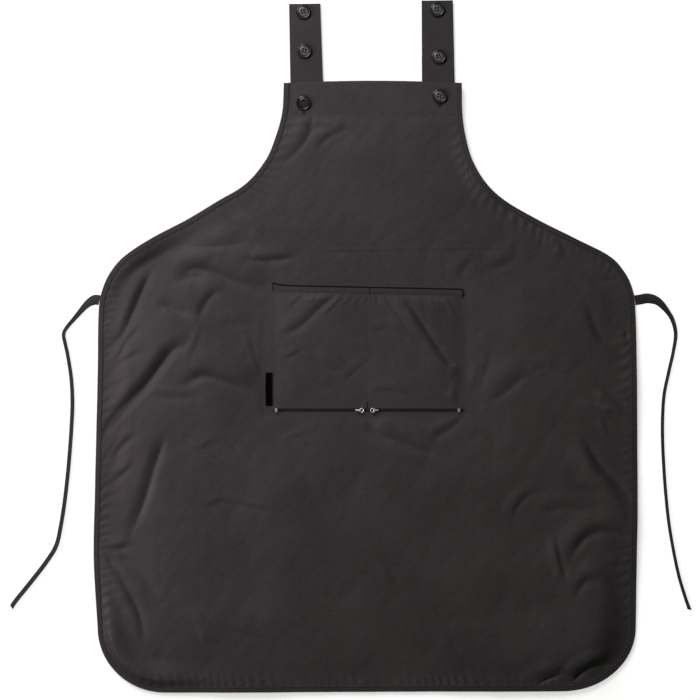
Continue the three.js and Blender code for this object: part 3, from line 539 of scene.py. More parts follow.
def beside(run, x, y):
    """For points near a line, the share along it and the distance to its right."""
    along = lengths_along(run)
    best = np.full_like(x, np.inf)
    share, aside = np.zeros_like(x), np.zeros_like(x)
    for (ax, ay), (bx, by), start in zip(run[:-1], run[1:], along):
        length = math.hypot(bx - ax, by - ay)
        wx, wy = (bx - ax) / length, (by - ay) / length
        forward = (x - ax) * wx + (y - ay) * wy
        to_right = (x - ax) * wy - (y - ay) * wx
        held = np.clip(forward, 0, length)
        square = (forward - held) ** 2 + to_right**2
        closer = square < best
        best = np.where(closer, square, best)
        share = np.where(closer, (start + held) / along[-1], share)
        aside = np.where(closer, np.sign(to_right) * np.sqrt(square), aside)
    return share, aside


def fold_relief(folds, x, y):
    """Each fold rises softly to a crest, falls, and turns sharply out of its valley."""
    total = np.zeros_like(x)
    for f in folds:
        run = smooth_run([spot(*point) for point in f["line"]], FOLD_STEPS)
        margin = f["reach"] + f["band"]
        low, high = run.min(axis=0) - margin, run.max(axis=0) + margin
        near = (x > low[0]) & (x < high[0]) & (y > low[1]) & (y < high[1])
        share, aside = beside(run, x[near], y[near])
        past_crest = aside + f["band"] / 2
        rise = ease(-f["reach"], 0, past_crest) * (1 - f["dip"])
        t = np.clip(past_crest / f["band"], 0, 1)
        fall = t * t * (1.5 - 0.5 * t)
        lip_run = FOLD_LIP["run"] * (FOLD_LIP["least"] + FOLD_LIP["more"] * f["dip"])
        back = np.clip((past_crest - f["band"]) / lip_run, 0, 1)
        lip = f["dip"] * (1 - (1 - back) ** 2)
        ends = ease(0, f["starts"], share) * ease(0, f["stops"], 1 - share)
        total[near] += f["drop"] * ends * (rise - fall + lip)
    return total


def edge_wave(along):
    """Slight waves of the sewn edge above its rest."""
    swing = np.sin(along / EDGE_WAVE["long"]) * np.sin(along / EDGE_WAVE["short"] + EDGE_WAVE["shift"])
    return EDGE_WAVE["height"] * (1 + swing)


def edge_lift(along, far):
    """Places where the sewn edge curls up off the table."""
    total = np.zeros_like(along)
    for lift in EDGE_LIFTS:
        x, y = spot(lift["px"], lift["py"])
        _, middle = edge_near(np.array([x]), np.array([y]))
        swell = np.exp(-((along - middle[0]) / lift["spread"]) ** 2)
        total += lift["height"] * swell * ease(lift["reach"], RIM, far)
    return total


def edge_height(points, along):
    """Height of the sewn edge's middle at points of the outline."""
    return body_rest(points[:, 1]) + edge_wave(along) + edge_lift(along, np.zeros_like(along))


def outside(value, low, high):
    return np.maximum(np.maximum(low - value, value - high), 0)


def beyond_pocket(x, y):
    beyond_x = outside(x, POCKET["left"] - TAB["width"], POCKET["right"])
    beyond_y = outside(y, POCKET["bottom"] - ZIP_ROOM, POCKET["mouth_left"])
    return np.hypot(beyond_x, beyond_y)


def corner_puff(x, y, far):
    """The cloth climbs toward each rounded corner and rolls over beside the tape."""
    total = np.zeros_like(x)
    for side, sign in SIDES.items():
        across, down = HEM_CORNER[side]
        end, puff = EDGE[-1], CORNER_PUFF[side]
        cx = end[side] - sign * across * PUFF_ACROSS
        cy = end["y"] - down * PUFF_DOWN
        near = np.exp(-((x - cx) ** 2 + (y - cy) ** 2) / (2 * puff["spread"] ** 2))
        climb = 1 - ease(puff["crest"], puff["from"], far)
        total += puff["height"] * near * climb * ease(PUFF_START, puff["crest"], far)
    return total


def puckers(far, along):
    """Short gathers that the sewn tape pulls into the cloth beside it."""
    p = PUCKERS
    sway = p["sway"] * np.sin(along / p["sway_length"]) + p["drift"] * np.sin(along / p["drift_length"])
    phase = along / p["pitch"] + sway + far / p["lean"]
    uneven = np.sin(along / p["uneven_long"] + p["shift"]) * np.sin(along / p["uneven_short"])
    strength = p["even"] + p["uneven"] * uneven
    reach = p["reach"] + p["reach_more"] * (0.5 + 0.5 * np.sin(along / p["reach_length"]))
    near = ease(*p["start"], far) * np.exp(-((far - p["crest"]) / reach) ** 2)
    return p["height"] * strength * np.sin(2 * math.pi * phase) * near


def creases(x, y):
    """Faint uneven crumpling, with sharp valleys."""
    return sum(np.abs(waves(x, y, **row)) for row in CREASES)


def body_mid(x, y):
    far, along = edge_near(x, y)
    rest = body_rest(y)
    off_pocket = beyond_pocket(x, y)
    free = ease(POCKET_MARGIN, POCKET_MARGIN + FOLD_EASE, off_pocket)
    below_hem = ease(0, FOLD_EASE, HEM_Y - y)
    bib = ease(LIFT_FROM, LIFT_TO, y)
    loose = (BILLOW + waves(x, y, **RIPPLES["loose"])) * (1 - BIB_FLATTER * bib)
    loose *= ease(0, BILLOW_EASE["pocket"], off_pocket) * ease(RIM, BILLOW_EASE["edge"], far)
    loose *= ease(0, BILLOW_EASE["hem"], HEM_Y - y)
    relief = loose + creases(x, y) + fold_relief(BODY_FOLDS, x, y)
    rise = np.maximum(relief, 0) * ease(FOLD_RIM, FOLD_RIM + EDGE_EASE["rise"], far)
    dip = np.minimum(relief, 0) * ease(FOLD_RIM, FOLD_RIM + EDGE_EASE["dip"], far)
    relief = (rise + dip) * free * below_hem
    puff = corner_puff(x, y, far)
    waved = edge_wave(along) * ease(EDGE_WAVE["fades_by"], RIM, far)
    edge = waved + edge_lift(along, far) + puckers(far, along)
    groove = -HEM_GROOVE["depth"] * np.exp(-((y - HEM_Y) / HEM_GROOVE["width"]) ** 2)
    turned = waves(x, y, **RIPPLES["turned"]) * (1 - below_hem)
    fine = waves(x, y, **RIPPLES["fine"]) * free
    lowest = blend(LOWEST_MID, rest, ease(CLEAR_OF_STRAPS, LIFT_FROM, y))
    pressed = POCKET_PRESS * (1 - ease(0, PRESS_EASE, off_pocket))
    laid = np.maximum(rest + relief + puff + edge * below_hem - pressed, lowest)
    return laid + groove + turned + fine


def bib_arch(x):
    middle = (BIB_TOP["left"] + BIB_TOP["right"]) / 2
    off = (x - middle) / (BIB_TOP["right"] - middle)
    return BIB_ARCH * (1 - off * off)


# Meshes
def made(name, mesh, material, smooth=True):
    mesh.polygons.foreach_set("use_smooth", [smooth] * len(mesh.polygons))
    mesh.materials.append(material)
    piece = bpy.data.objects.new(name, mesh)
    bpy.context.scene.collection.objects.link(piece)
    return piece


def from_bmesh(name, bm, material, smooth=True):
    mesh = bpy.data.meshes.new(name)
    bm.to_mesh(mesh)
    bm.free()
    return made(name, mesh, material, smooth)


def laid_grid(name, columns, rows, place, material, thick=0.0, around=False):
    """A grid whose corners place(u, v) sets, in millimetres; around joins its first and last columns."""
    bm = bmesh.new()
    bmesh.ops.create_grid(bm, x_segments=columns, y_segments=rows, size=0.5)
    flat = np.array([vert.co[:] for vert in bm.verts])
    points = place(flat[:, 0] + 0.5, flat[:, 1] + 0.5) * MM
    for vert, point in zip(bm.verts, points):
        vert.co = point
    if around:
        bmesh.ops.remove_doubles(bm, verts=bm.verts, dist=1e-6)
    for edge in bm.edges:
        edge.smooth = not edge.is_boundary
    piece = from_bmesh(name, bm, material)
    if thick:
        wall = piece.modifiers.new("wall", "SOLIDIFY")
        wall.thickness = thick * MM
        wall.offset = 0
        wall.use_even_offset = True
    return piece


def ribbon_frames(stations):
    """Points, half-width vectors and normals along a flat tape, mitred where it turns."""
    points = np.array([s[0] for s in stations], float)
    normals = np.array([s[1] for s in stations], float)
    widths = np.array([s[2] for s in stations], float)
    steps = np.diff(points, axis=0)
    side_before = unit(np.cross(normals, np.vstack([steps[:1], steps])))
    side_after = unit(np.cross(normals, np.vstack([steps, steps[-1:]])))
    both = side_before + side_after
    half = both * (widths / (both * both).sum(axis=1))[:, None]
    return points, half, normals


def ribbon(name, stations, columns, rows, material, thick, wave=None):
    """A flat tape through stations of point, normal and width."""
    points, half, normals = ribbon_frames(stations)
    along = lengths_along(points)

    def place(u, v):
        want = v * along[-1]
        side = 1 - 2 * u
        out = at_length(points, along, want) + at_length(half, along, want) * side[:, None]
        if wave is not None:
            out = out + at_length(normals, along, want) * wave(side, want)[:, None]
        return out

    return laid_grid(name, columns, rows, place, material, thick)


def many(name, shape, places, material):
    """Copies of one small bmesh shape, joined, each set by a place matrix."""
    base = np.array([vert.co[:] for vert in shape.verts])
    faces = [[vert.index for vert in face.verts] for face in shape.faces]
    shape.free()
    count = len(base)
    verts = np.concatenate([base @ turn.T + move for turn, move in places]) * MM
    loops = [[i + k * count for i in face] for k in range(len(places)) for face in faces]
    mesh = bpy.data.meshes.new(name)
    mesh.from_pydata(verts.tolist(), [], loops)
    return made(name, mesh, material)


def thread_shape(length, radius, around=6, rings=5, dip=0.5):
    """One stitch along X: a short thread whose ends dip into the cloth."""
    bm = bmesh.new()
    bmesh.ops.create_uvsphere(bm, u_segments=around, v_segments=rings, radius=1)
    bmesh.ops.rotate(bm, verts=bm.verts, matrix=Matrix.Rotation(math.pi / 2, 3, "Y"))
    for vert in bm.verts:
        x, y, z = vert.co
        vert.co = (x * length / 2, y * radius, z * radius - dip * radius * x * x)
    bm.verts.index_update()
    return bm


def stitches(
    name, line, material, pitch=STITCH_PITCH, length=STITCH_LENGTH, radius=THREAD_RADIUS, slant=STITCH_SLANT
):
    """A row of stitches along a line of points."""
    along = lengths_along(line)
    count = int(along[-1] / pitch)
    want = (np.arange(count) + 0.5) * along[-1] / count
    way = unit(at_length(line, along, want + 0.5) - at_length(line, along, want - 0.5))
    places = []
    for point, forward in zip(at_length(line, along, want), way):
        forward = unit(forward + slant * np.cross(UP, forward))
        side = unit(np.cross(UP, forward))
        places.append((np.stack([forward, side, np.cross(forward, side)], axis=1), point))
    return many(name, thread_shape(length, radius), places, material)


def satin_bar(name, middle, along_y, rows):
    """A bar-tack: short threads laid side by side across a line."""
    offsets = np.linspace(-along_y / 2, along_y / 2, rows)
    places = [(np.eye(3), np.array(middle) + (0, off, 0)) for off in offsets]
    return many(name, thread_shape(BAR_TACK["wide"], BAR_THREAD_RADIUS), places, BLACK_THREAD)


# Finishes
def new_finish(name, **values):
    material = bpy.data.materials.new(name)
    material.use_nodes = True
    shader = material.node_tree.nodes["Principled BSDF"]
    for socket, value in values.items():
        shader.inputs[socket.replace("_", " ")].default_value = value
    return material, material.node_tree, shader


def add_node(tree, kind, settings=None, **values):
    node = tree.nodes.new(kind)
    for key, value in (settings or {}).items():
        setattr(node, key, value)
    for socket, value in values.items():
        node.inputs[socket.replace("_", " ")].default_value = value
    return node


def maths(tree, operation, a, b=None):
    node = tree.nodes.new("ShaderNodeMath")
    node.operation = operation
    for socket, value in zip(node.inputs, (a, b)):
        if value is None:
            continue
        if isinstance(value, (int, float)):
            socket.default_value = value
        else:
            tree.links.new(value, socket)
    return node.outputs[0]


def new_group(name, inputs, outputs):
    group = bpy.data.node_groups.new(name, "ShaderNodeTree")
    for socket, (kind, value) in inputs.items():
        made_socket = group.interface.new_socket(socket, in_out="INPUT", socket_type=kind)
        if value is not None:
            made_socket.default_value = value
    for socket, kind in outputs.items():
        group.interface.new_socket(socket, in_out="OUTPUT", socket_type=kind)
    return group, group.nodes.new("NodeGroupInput"), group.nodes.new("NodeGroupOutput")


def plain_weave_group():
    """Height of over-and-under threads."""
    group, given, out = new_group(
        "plain_weave",
        {"Vector": ("NodeSocketVector", None), "Pitch": ("NodeSocketFloat", 0.0005)},
        {"Height": "NodeSocketFloat"},
    )
    split = group.nodes.new("ShaderNodeSeparateXYZ")
    group.links.new(given.outputs["Vector"], split.inputs[0])
    turns = maths(group, "DIVIDE", math.pi, given.outputs["Pitch"])
    warp = maths(group, "SINE", maths(group, "MULTIPLY", split.outputs["X"], turns))
    weft = maths(group, "SINE", maths(group, "MULTIPLY", split.outputs["Y"], turns))
    cross = maths(group, "MULTIPLY", warp, weft)
    height = maths(group, "MULTIPLY", maths(group, "ADD", cross, 1.0), 0.5)
    group.links.new(height, out.inputs["Height"])
    return group


def cloth_mottle_group():
    """Uneven tone of cloth: broad soft patches and fine slubs along and across."""
    group, given, out = new_group(
        "cloth_mottle",
        {
            "Vector": ("NodeSocketVector", None),
            "Patch": ("NodeSocketFloat", 9.0),
            "Slub": ("NodeSocketFloat", 420.0),
        },
        {"Patches": "NodeSocketFloat", "Slubs": "NodeSocketFloat"},
    )
    patch = add_node(group, "ShaderNodeTexNoise", Detail=3.0, Roughness=0.55)
    group.links.new(given.outputs["Vector"], patch.inputs["Vector"])
    group.links.new(given.outputs["Patch"], patch.inputs["Scale"])
    slubs = []
    for stretch in ((1, 0.6, 1), (0.6, 1, 1)):
        squeeze = add_node(group, "ShaderNodeMapping")
        squeeze.inputs["Scale"].default_value = stretch
        slub = add_node(group, "ShaderNodeTexNoise", Detail=2.0, Roughness=0.6)
        group.links.new(given.outputs["Vector"], squeeze.inputs["Vector"])
        group.links.new(squeeze.outputs[0], slub.inputs["Vector"])
        group.links.new(given.outputs["Slub"], slub.inputs["Scale"])
        slubs.append(slub.outputs[0])
    both = maths(group, "MULTIPLY", maths(group, "ADD", *slubs), 0.5)
    group.links.new(patch.outputs[0], out.inputs["Patches"])
    group.links.new(both, out.inputs["Slubs"])
    return group


PLAIN_WEAVE = plain_weave_group()
CLOTH_MOTTLE = cloth_mottle_group()


def place_group(tree, group, source, **values):
    node = tree.nodes.new("ShaderNodeGroup")
    node.node_tree = group
    tree.links.new(source, node.inputs["Vector"])
    for socket, value in values.items():
        node.inputs[socket].default_value = value
    return node


def two_tone(tree, factor, dark, light, low=0.3, high=0.7):
    ramp = tree.nodes.new("ShaderNodeValToRGB")
    ramp.color_ramp.elements[0].position = low
    ramp.color_ramp.elements[0].color = (*dark, 1)
    ramp.color_ramp.elements[1].position = high
    ramp.color_ramp.elements[1].color = (*light, 1)
    tree.links.new(factor, ramp.inputs[0])
    return ramp.outputs[0]


def spread(tree, factor, low, high):
    node = add_node(tree, "ShaderNodeMapRange", To_Min=low, To_Max=high)
    tree.links.new(factor, node.inputs["Value"])
    return node.outputs[0]


def bumped(tree, shader, height, strength, distance):
    bump = add_node(tree, "ShaderNodeBump", Strength=strength, Distance=distance)
    tree.links.new(height, bump.inputs["Height"])
    tree.links.new(bump.outputs[0], shader.inputs["Normal"])


TONE = {"patches": 0.45, "slubs": 0.55, "low": 0.4, "high": 0.6}
ROUGH_SPREAD = 0.1
SHEEN_ROUGH = 0.5
WEAVE_BUMP = 0.35
GRAIN_BUMP = 0.3
GRAIN_ROUGH = (0.75, 1.25)
COAT_ROUGH = 0.12


def woven_finish(name, dark, light, pitch, rough, depth, gloss, sheen):
    """Cloth of plain weave with an uneven tone."""
    material, tree, shader = new_finish(
        name, Specular_IOR_Level=gloss, Sheen_Weight=sheen, Sheen_Roughness=SHEEN_ROUGH
    )
    where = tree.nodes.new("ShaderNodeTexCoord").outputs["Object"]
    weave = place_group(tree, PLAIN_WEAVE, where, Pitch=pitch * MM)
    mottle = place_group(tree, CLOTH_MOTTLE, where)
    patches, slubs = mottle.outputs["Patches"], mottle.outputs["Slubs"]
    tone = maths(tree, "ADD", maths(tree, "MULTIPLY", patches, TONE["patches"]),
                 maths(tree, "MULTIPLY", slubs, TONE["slubs"]))
    colour = two_tone(tree, tone, dark, light, TONE["low"], TONE["high"])
    tree.links.new(colour, shader.inputs["Base Color"])
    roughness = spread(tree, slubs, rough - ROUGH_SPREAD, rough + ROUGH_SPREAD)
    tree.links.new(roughness, shader.inputs["Roughness"])
    bumped(tree, shader, maths(tree, "ADD", weave.outputs["Height"], slubs), WEAVE_BUMP, depth * MM)
    return material


WOVEN_FINISHES = rows_of("name dark light pitch rough depth gloss sheen", [
    ("charcoal_polyester", (0.0245, 0.0225, 0.0231), (0.034, 0.0313, 0.032), 0.42, 0.58, 0.06, 0.2, 0.04),
    # Straps: the body's cloth made darker, painted shade that evens out the stronger light on them
    ("strap_polyester", (0.0188, 0.0171, 0.0174), (0.0265, 0.0242, 0.0246), 0.42, 0.58, 0.06, 0.2, 0.04),
    ("folded_tape", (0.0215, 0.0192, 0.0199), (0.0305, 0.0272, 0.0282), 0.55, 0.6, 0.09, 0.18, 0.04),
    ("tie_tape", (0.015, 0.0132, 0.0142), (0.0235, 0.0206, 0.0222), 0.55, 0.65, 0.09, 0.2, 0.0),
    ("black_satin", (0.0012, 0.0012, 0.0013), (0.0022, 0.0022, 0.0024), 0.3, 0.5, 0.04, 0.0, 0.0),
    ("zip_tape", (0.008, 0.0048, 0.0088), (0.0125, 0.0076, 0.0138), 0.6, 0.7, 0.12, 0.2, 0.0),
    # near-black cloth of the painted shadow in the pocket's mouth
    ("black_lining", (0.0015, 0.0014, 0.0015), (0.003, 0.0028, 0.003), 0.6, 0.8, 0.09, 0.08, 0.0),
])
POLYESTER, STRAP_POLYESTER_PAINTED_SHADE, EDGE_TAPE, TIE_TAPE, SATIN_TAB, ZIP_TAPE_CLOTH, PAINTED_MOUTH_SHADOW = (
    woven_finish(**row) for row in WOVEN_FINISHES
)


def plain_finish(name, dark, light, scale, rough, depth, gloss, coat, metal):
    """One solid stuff whose tone and gloss change a little over it."""
    material, tree, shader = new_finish(
        name, Specular_IOR_Level=gloss, Coat_Weight=coat, Coat_Roughness=COAT_ROUGH, Metallic=metal
    )
    where = tree.nodes.new("ShaderNodeTexCoord").outputs["Object"]
    grain = add_node(tree, "ShaderNodeTexNoise", Scale=scale, Detail=4.0, Roughness=0.6)
    tree.links.new(where, grain.inputs["Vector"])
    tree.links.new(two_tone(tree, grain.outputs[0], dark, light), shader.inputs["Base Color"])
    roughness = spread(tree, grain.outputs[0], *(rough * share for share in GRAIN_ROUGH))
    tree.links.new(roughness, shader.inputs["Roughness"])
    bumped(tree, shader, grain.outputs[0], GRAIN_BUMP, depth * MM)
    return material


PLAIN_FINISHES = rows_of("name dark light scale rough depth gloss coat metal", [
    ("charcoal_thread", (0.012, 0.0105, 0.0112), (0.022, 0.019, 0.02), 2600, 0.6, 0.08, 0.25, 0.0, 0.0),
    ("black_thread", (0.002, 0.0019, 0.002), (0.005, 0.0048, 0.005), 2600, 0.7, 0.08, 0.15, 0.0, 0.0),
    ("black_nylon", (0.007, 0.0043, 0.0078), (0.0115, 0.007, 0.0127), 900, 0.6, 0.03, 0.2, 0.0, 0.0),
    ("polished_resin", (0.006, 0.0055, 0.0085), (0.0095, 0.0088, 0.013), 260, 0.24, 0.02, 0.5, 0.4, 0.0),
    ("bright_nickel", (0.72, 0.72, 0.71), (0.86, 0.86, 0.85), 700, 0.34, 0.02, 0.5, 0.0, 1.0),
    # near-black stuff of the painted shadow in the buttonholes' slits
    ("slit_shadow", (0.0015, 0.0015, 0.0015), (0.003, 0.003, 0.003), 1500, 0.9, 0.03, 0.5, 0.0, 0.0),
])
THREAD, BLACK_THREAD, ZIP_NYLON, BUTTON_RESIN, NICKEL, PAINTED_SLIT_SHADOW = (
    plain_finish(**row) for row in PLAIN_FINISHES
)


# Body panel: from the hem up the front, over the top edge, and down inside as the bib's turned hem
INSET_EDGES = {
    side: run + SIDES[side] * edge_normals(run) * PANEL_INSET for side, run in EDGE_RUN.items()
}


def body_spread(columns, share, clear, top_drop):
    """Table places of the cloth: columns across it, and shares up from the hem to the bib's top."""
    columns = blend(columns, 0.5 - 0.5 * np.cos(math.pi * columns), CROWDING)
    left = spaced(INSET_EDGES["left"], 1 - share)
    right = spaced(INSET_EDGES["right"], 1 - share)
    x = blend(left[:, 0] + clear, right[:, 0] - clear, columns)
    y = blend(left[:, 1], right[:, 1], columns)
    near_top = ease(BIB_TOP["y"] - BIB_ARCH_RUN, BIB_TOP["y"], y)
    return x, y + (bib_arch(x) - top_drop) * near_top


BODY_GRID_ROWS = BODY_ROWS + HEM_FOLD_ROWS + HEM_ROWS


def body_place(u, v):
    row = v * BODY_GRID_ROWS
    turned = np.clip((row - BODY_ROWS) / HEM_FOLD_ROWS, 0, 1)
    down = np.clip((row - BODY_ROWS - HEM_FOLD_ROWS) / HEM_ROWS, 0, 1)
    clear = HEM_SIDE_CLEAR * ease(0, 1, turned)
    x, y = body_spread(u, np.clip(row / BODY_ROWS, 0, 1), clear, HEM_FOLD_RADIUS)
    z = body_mid(x, y) + CLOTH / 2
    angle = turned * math.pi
    y = y + HEM_FOLD_RADIUS * np.sin(angle) - down * HEM_DEPTH
    z = z - HEM_FOLD_RADIUS * (1 - np.cos(angle))
    return side_by_side(x, y, z)


def reverse_place(u, v):
    x, y = body_spread(1 - u, v, 0, HEM_FOLD_RADIUS + CLOTH)
    far, _ = edge_near(x, y)
    slack = REVERSE_SLACK * ease(RIM, RIM + FOLD_EASE, far)
    return side_by_side(x, y, body_mid(x, y) - CLOTH / 2 - slack)


body = laid_grid("body_panel_cloth", BODY_COLUMNS, BODY_GRID_ROWS, body_place, POLYESTER)
body_reverse = laid_grid("body_panel_reverse", REVERSE_COLUMNS, REVERSE_ROWS, reverse_place, POLYESTER)


# Folded tape: face, rounded outside and back
def tape_section(cover):
    face = [(n, TAPE_OFF) for n in np.linspace(-cover, TAPE_TURN, TAPE_POINTS["face"])]
    turn = np.linspace(math.pi / 2, -math.pi / 2, TAPE_POINTS["turn"])[1:-1]
    rounded = [(TAPE_TURN + TAPE_OFF * math.cos(a), TAPE_OFF * math.sin(a)) for a in turn]
    back = [(n, -TAPE_OFF) for n in np.linspace(TAPE_TURN, -cover, TAPE_POINTS["back"])]
    return np.array([*face, *rounded, *back])


def section_at(section, u):
    """Places across and up a tape, for shares round its section."""
    j = np.rint(u * (len(section) - 1)).astype(int)
    return section[j, 0], section[j, 1]


def tape_gathers(along, n, h, height, length, sway):
    """Small gathers across the face of a sewn tape."""
    face = np.where(h > 0, 1, 0) * ease(*TAPE_FACE, n)
    return height * np.sin(along / length + np.sin(along / sway)) * face


SECTION = tape_section(TAPE_COVER)
TAPE_ROWS = int(WHOLE_LENGTH / TAPE_STEP)


def edge_tape_place(u, v):
    points = spaced(WHOLE_EDGE, np.linspace(0, 1, TAPE_ROWS + 1))
    outward = edge_normals(points)
    along = np.linspace(0, WHOLE_LENGTH, TAPE_ROWS + 1)
    base = edge_height(points, along)
    inner = points - outward * PANEL_INSET
    k = np.rint(v * TAPE_ROWS).astype(int)
    n, h = section_at(SECTION, u)
    sunk = TAPE_SINK * np.where(h > 0, 1, 0) * ease(-TAPE_COVER + TAPE_SINK_RUN, -TAPE_COVER, n)
    ripple = tape_gathers(along[k], n, h, **TAPE_GATHERS) - sunk
    swing = np.sin(along[k] / TAPE_UNEVEN["short"]) * np.sin(along[k] / TAPE_UNEVEN["long"])
    uneven = TAPE_UNEVEN["height"] * swing * ease(0, TAPE_UNEVEN["reach"], n)
    return np.column_stack([inner[k] + outward[k] * (n + uneven)[:, None], base[k] + h + ripple])


edge_tape = laid_grid("edge_binding_tape", len(SECTION) - 1, TAPE_ROWS, edge_tape_place, EDGE_TAPE, TAPE)


def edge_line(depth, lift):
    shares = np.linspace(0, 1, TAPE_SEAM["steps"])
    points = spaced(WHOLE_EDGE, shares)
    inner = points - edge_normals(points) * depth
    return np.column_stack([inner, edge_height(points, shares * WHOLE_LENGTH) + lift])


# The edge tape's stitches, black and thick: real thread, and painted shade of the groove they sink into
tape_seam = edge_line(TAPE_SEAM["depth"], TAPE_TOP + THREAD_PROUD)
edge_stitches_and_shade = stitches("edge_binding_stitches_and_shade", tape_seam, BLACK_THREAD, radius=EDGE_THREAD_SHADE_RADIUS)

hem_x = np.linspace(HEM_SEAM["from"], HEM_SEAM["to"], HEM_SEAM["steps"])
hem_y = np.full_like(hem_x, HEM_Y)
hem_line = side_by_side(hem_x, hem_y, body_mid(hem_x, hem_y) + CLOTH / 2 + THREAD_PROUD)
hem_stitches = stitches("bib_hem_stitches", hem_line, THREAD, slant=HEM_SEAM["slant"])


# Pocket
def mouth_at(x):
    share = (x - POCKET["left"]) / (POCKET["right"] - POCKET["left"])
    flick = MOUTH_FLICK * np.exp(-(x - POCKET["left"]) / MOUTH_FLICK_RUN)
    return blend(POCKET["mouth_left"], POCKET["mouth_right"], share) + flick


def pocket_gathers(x, from_mouth):
    """Short gathers below the mouth's tape, most of them by the middle."""
    g = POCKET_GATHERS
    sway = g["sway"] * np.sin(x / g["sway_length"]) + g["jitter"] * np.sin(x / g["jitter_length"])
    lines = np.sin(2 * math.pi * (x / g["pitch"] + sway))
    zone = g["least"] + g["more"] * np.exp(-((x - g["middle"]) / g["spread"]) ** 2)
    run = g["run"] + g["run_more"] * np.sin(x / g["run_length"]) ** 2
    fade = np.exp(-(np.maximum(from_mouth - g["start"][1], 0) / run) ** 2)
    return g["height"] * zone * lines * fade * ease(*g["start"], from_mouth)


def pocket_mid(x, y):
    from_sides = np.minimum(x - POCKET["left"], POCKET["right"] - x)
    from_edge = np.minimum(from_sides, y - POCKET["bottom"])
    from_seam = np.abs(x - SEAM_X)
    from_mouth = mouth_at(x) - y
    inside = ease(*POCKET_EASE["edge"], from_edge)
    rest = blend(MOUTH_MID, POCKET_MID, ease(*MOUTH_REST_EASE, from_mouth))
    tape_free = ease(*POCKET_EASE["tape"], from_mouth)
    puff = POCKET_PUFF * ease(0, POCKET_EASE["seam"], from_seam) * ease(0, POCKET_EASE["puff"], from_edge)
    puff = puff + np.abs(waves(x, y, **RIPPLES["pocket"]))
    folds = fold_relief(POCKET_FOLDS, x, y)
    groove = -SEAM_GROOVE["depth"] * np.exp(-(from_seam / SEAM_GROOVE["width"]) ** 2) * inside
    slack = np.maximum(inside * tape_free * (puff + folds), 0)
    flush = POCKET_EDGE_SINK + rest - POCKET_MID
    sunk = flush * ease(SINK_EASE, 0, from_sides) * ease(*MOUTH_SINK_EASE, from_mouth)
    return rest + slack + pocket_gathers(x, from_mouth) + groove - sunk


def pocket_place(u, v):
    x = blend(POCKET["left"], POCKET["right"], u)
    y = blend(POCKET["bottom"], mouth_at(x), v)
    return side_by_side(x, y, pocket_mid(x, y))


pocket = laid_grid("pocket_panel_cloth", POCKET_COLUMNS, POCKET_ROWS, pocket_place, POLYESTER, POCKET_CLOTH)

MOUTH_SECTION = tape_section(MOUTH_COVER)


def mouth_tape_place(u, v):
    n, h = section_at(MOUTH_SECTION, u)
    x = blend(POCKET["right"], POCKET["left"], v)
    return side_by_side(x, mouth_at(x) + n, MOUTH_MID + h + tape_gathers(x, n, h, **MOUTH_GATHERS))


mouth_tape = laid_grid(
    "pocket_binding_tape", len(MOUTH_SECTION) - 1, MOUTH_ROWS, mouth_tape_place, EDGE_TAPE, TAPE
)

mouth_x = np.linspace(MOUTH_SEAM["from"], MOUTH_SEAM["to"], MOUTH_SEAM["steps"])
mouth_y = mouth_at(mouth_x) - MOUTH_COVER + MOUTH_SEAM["up"]
mouth_line = side_by_side(mouth_x, mouth_y, MOUTH_MID + TAPE_TOP + THREAD_PROUD)
mouth_stitches = stitches("pocket_mouth_stitches", mouth_line, THREAD)


def seam_line(x):
    y = np.linspace(POCKET["bottom"] + SEAM["end"], mouth_at(x) - MOUTH_COVER - SEAM["end"], SEAM["steps"])
    return side_by_side(x, y, pocket_mid(np.full_like(y, x), y) + POCKET_CLOTH / 2 - SEAM["sunk"])


pocket_seams = [
    stitches(f"pocket_{name}_seam_stitches", seam_line(x), THREAD, slant=SEAM["slant"])
    for name, x in SEAM_XS.items()
]
bar_tacks = []
for name, x in BAR_TACK_XS.items():
    middle = (x, mouth_at(x) - BAR_TACK["down"], MOUTH_MID + TAPE_TOP + BAR_TACK["proud"])
    bar_tacks.append(satin_bar(f"pocket_{name}_bar_tack", middle, BAR_TACK["long"], BAR_TACK["rows"]))
middle = (BOTTOM_TACK["x"], BOTTOM_TACK["y"], POCKET_MID + POCKET_CLOTH / 2 + BAR_TACK["proud"])
bar_tacks.append(satin_bar("pocket_bottom_bar_tack", middle, BOTTOM_TACK["long"], BOTTOM_TACK["rows"]))


# Painted shadow: a near-black strip set just above the pocket's mouth stands for the shade in its opening
def mouth_shadow_place(u, v):
    x = blend(POCKET["left"] + MOUTH_SHADOW_STRIP["end"], POCKET["right"] - MOUTH_SHADOW_STRIP["end"], u)
    y = mouth_at(x) + blend(MOUTH_SHADOW_STRIP["from"], MOUTH_SHADOW_STRIP["to"], v)
    return side_by_side(x, y, MOUTH_SHADOW_STRIP["mid"])


mouth_shadow_sheet = laid_grid(
    "pocket_mouth_painted_shadow", MOUTH_SHADOW_STRIP["columns"], MOUTH_SHADOW_STRIP["rows"], mouth_shadow_place, PAINTED_MOUTH_SHADOW, MOUTH_SHADOW_STRIP["thick"]
)


# Woven tab
def tab_place(u, v):
    right = POCKET["left"] - TAB["gap"]
    x = blend(right - TAB["width"], right, u)
    y = blend(TAB["bottom"], TAB["top"], v)
    uneven = TAB["curl_even"] + TAB["curl_uneven"] * np.sin(y / TAB["curl_length"])
    curl = TAB["curl"] * (1 - u) ** 2 * uneven
    return side_by_side(x + TAB["sway"] * np.sin(y / TAB["sway_length"]), y, TAB["mid"] + curl)


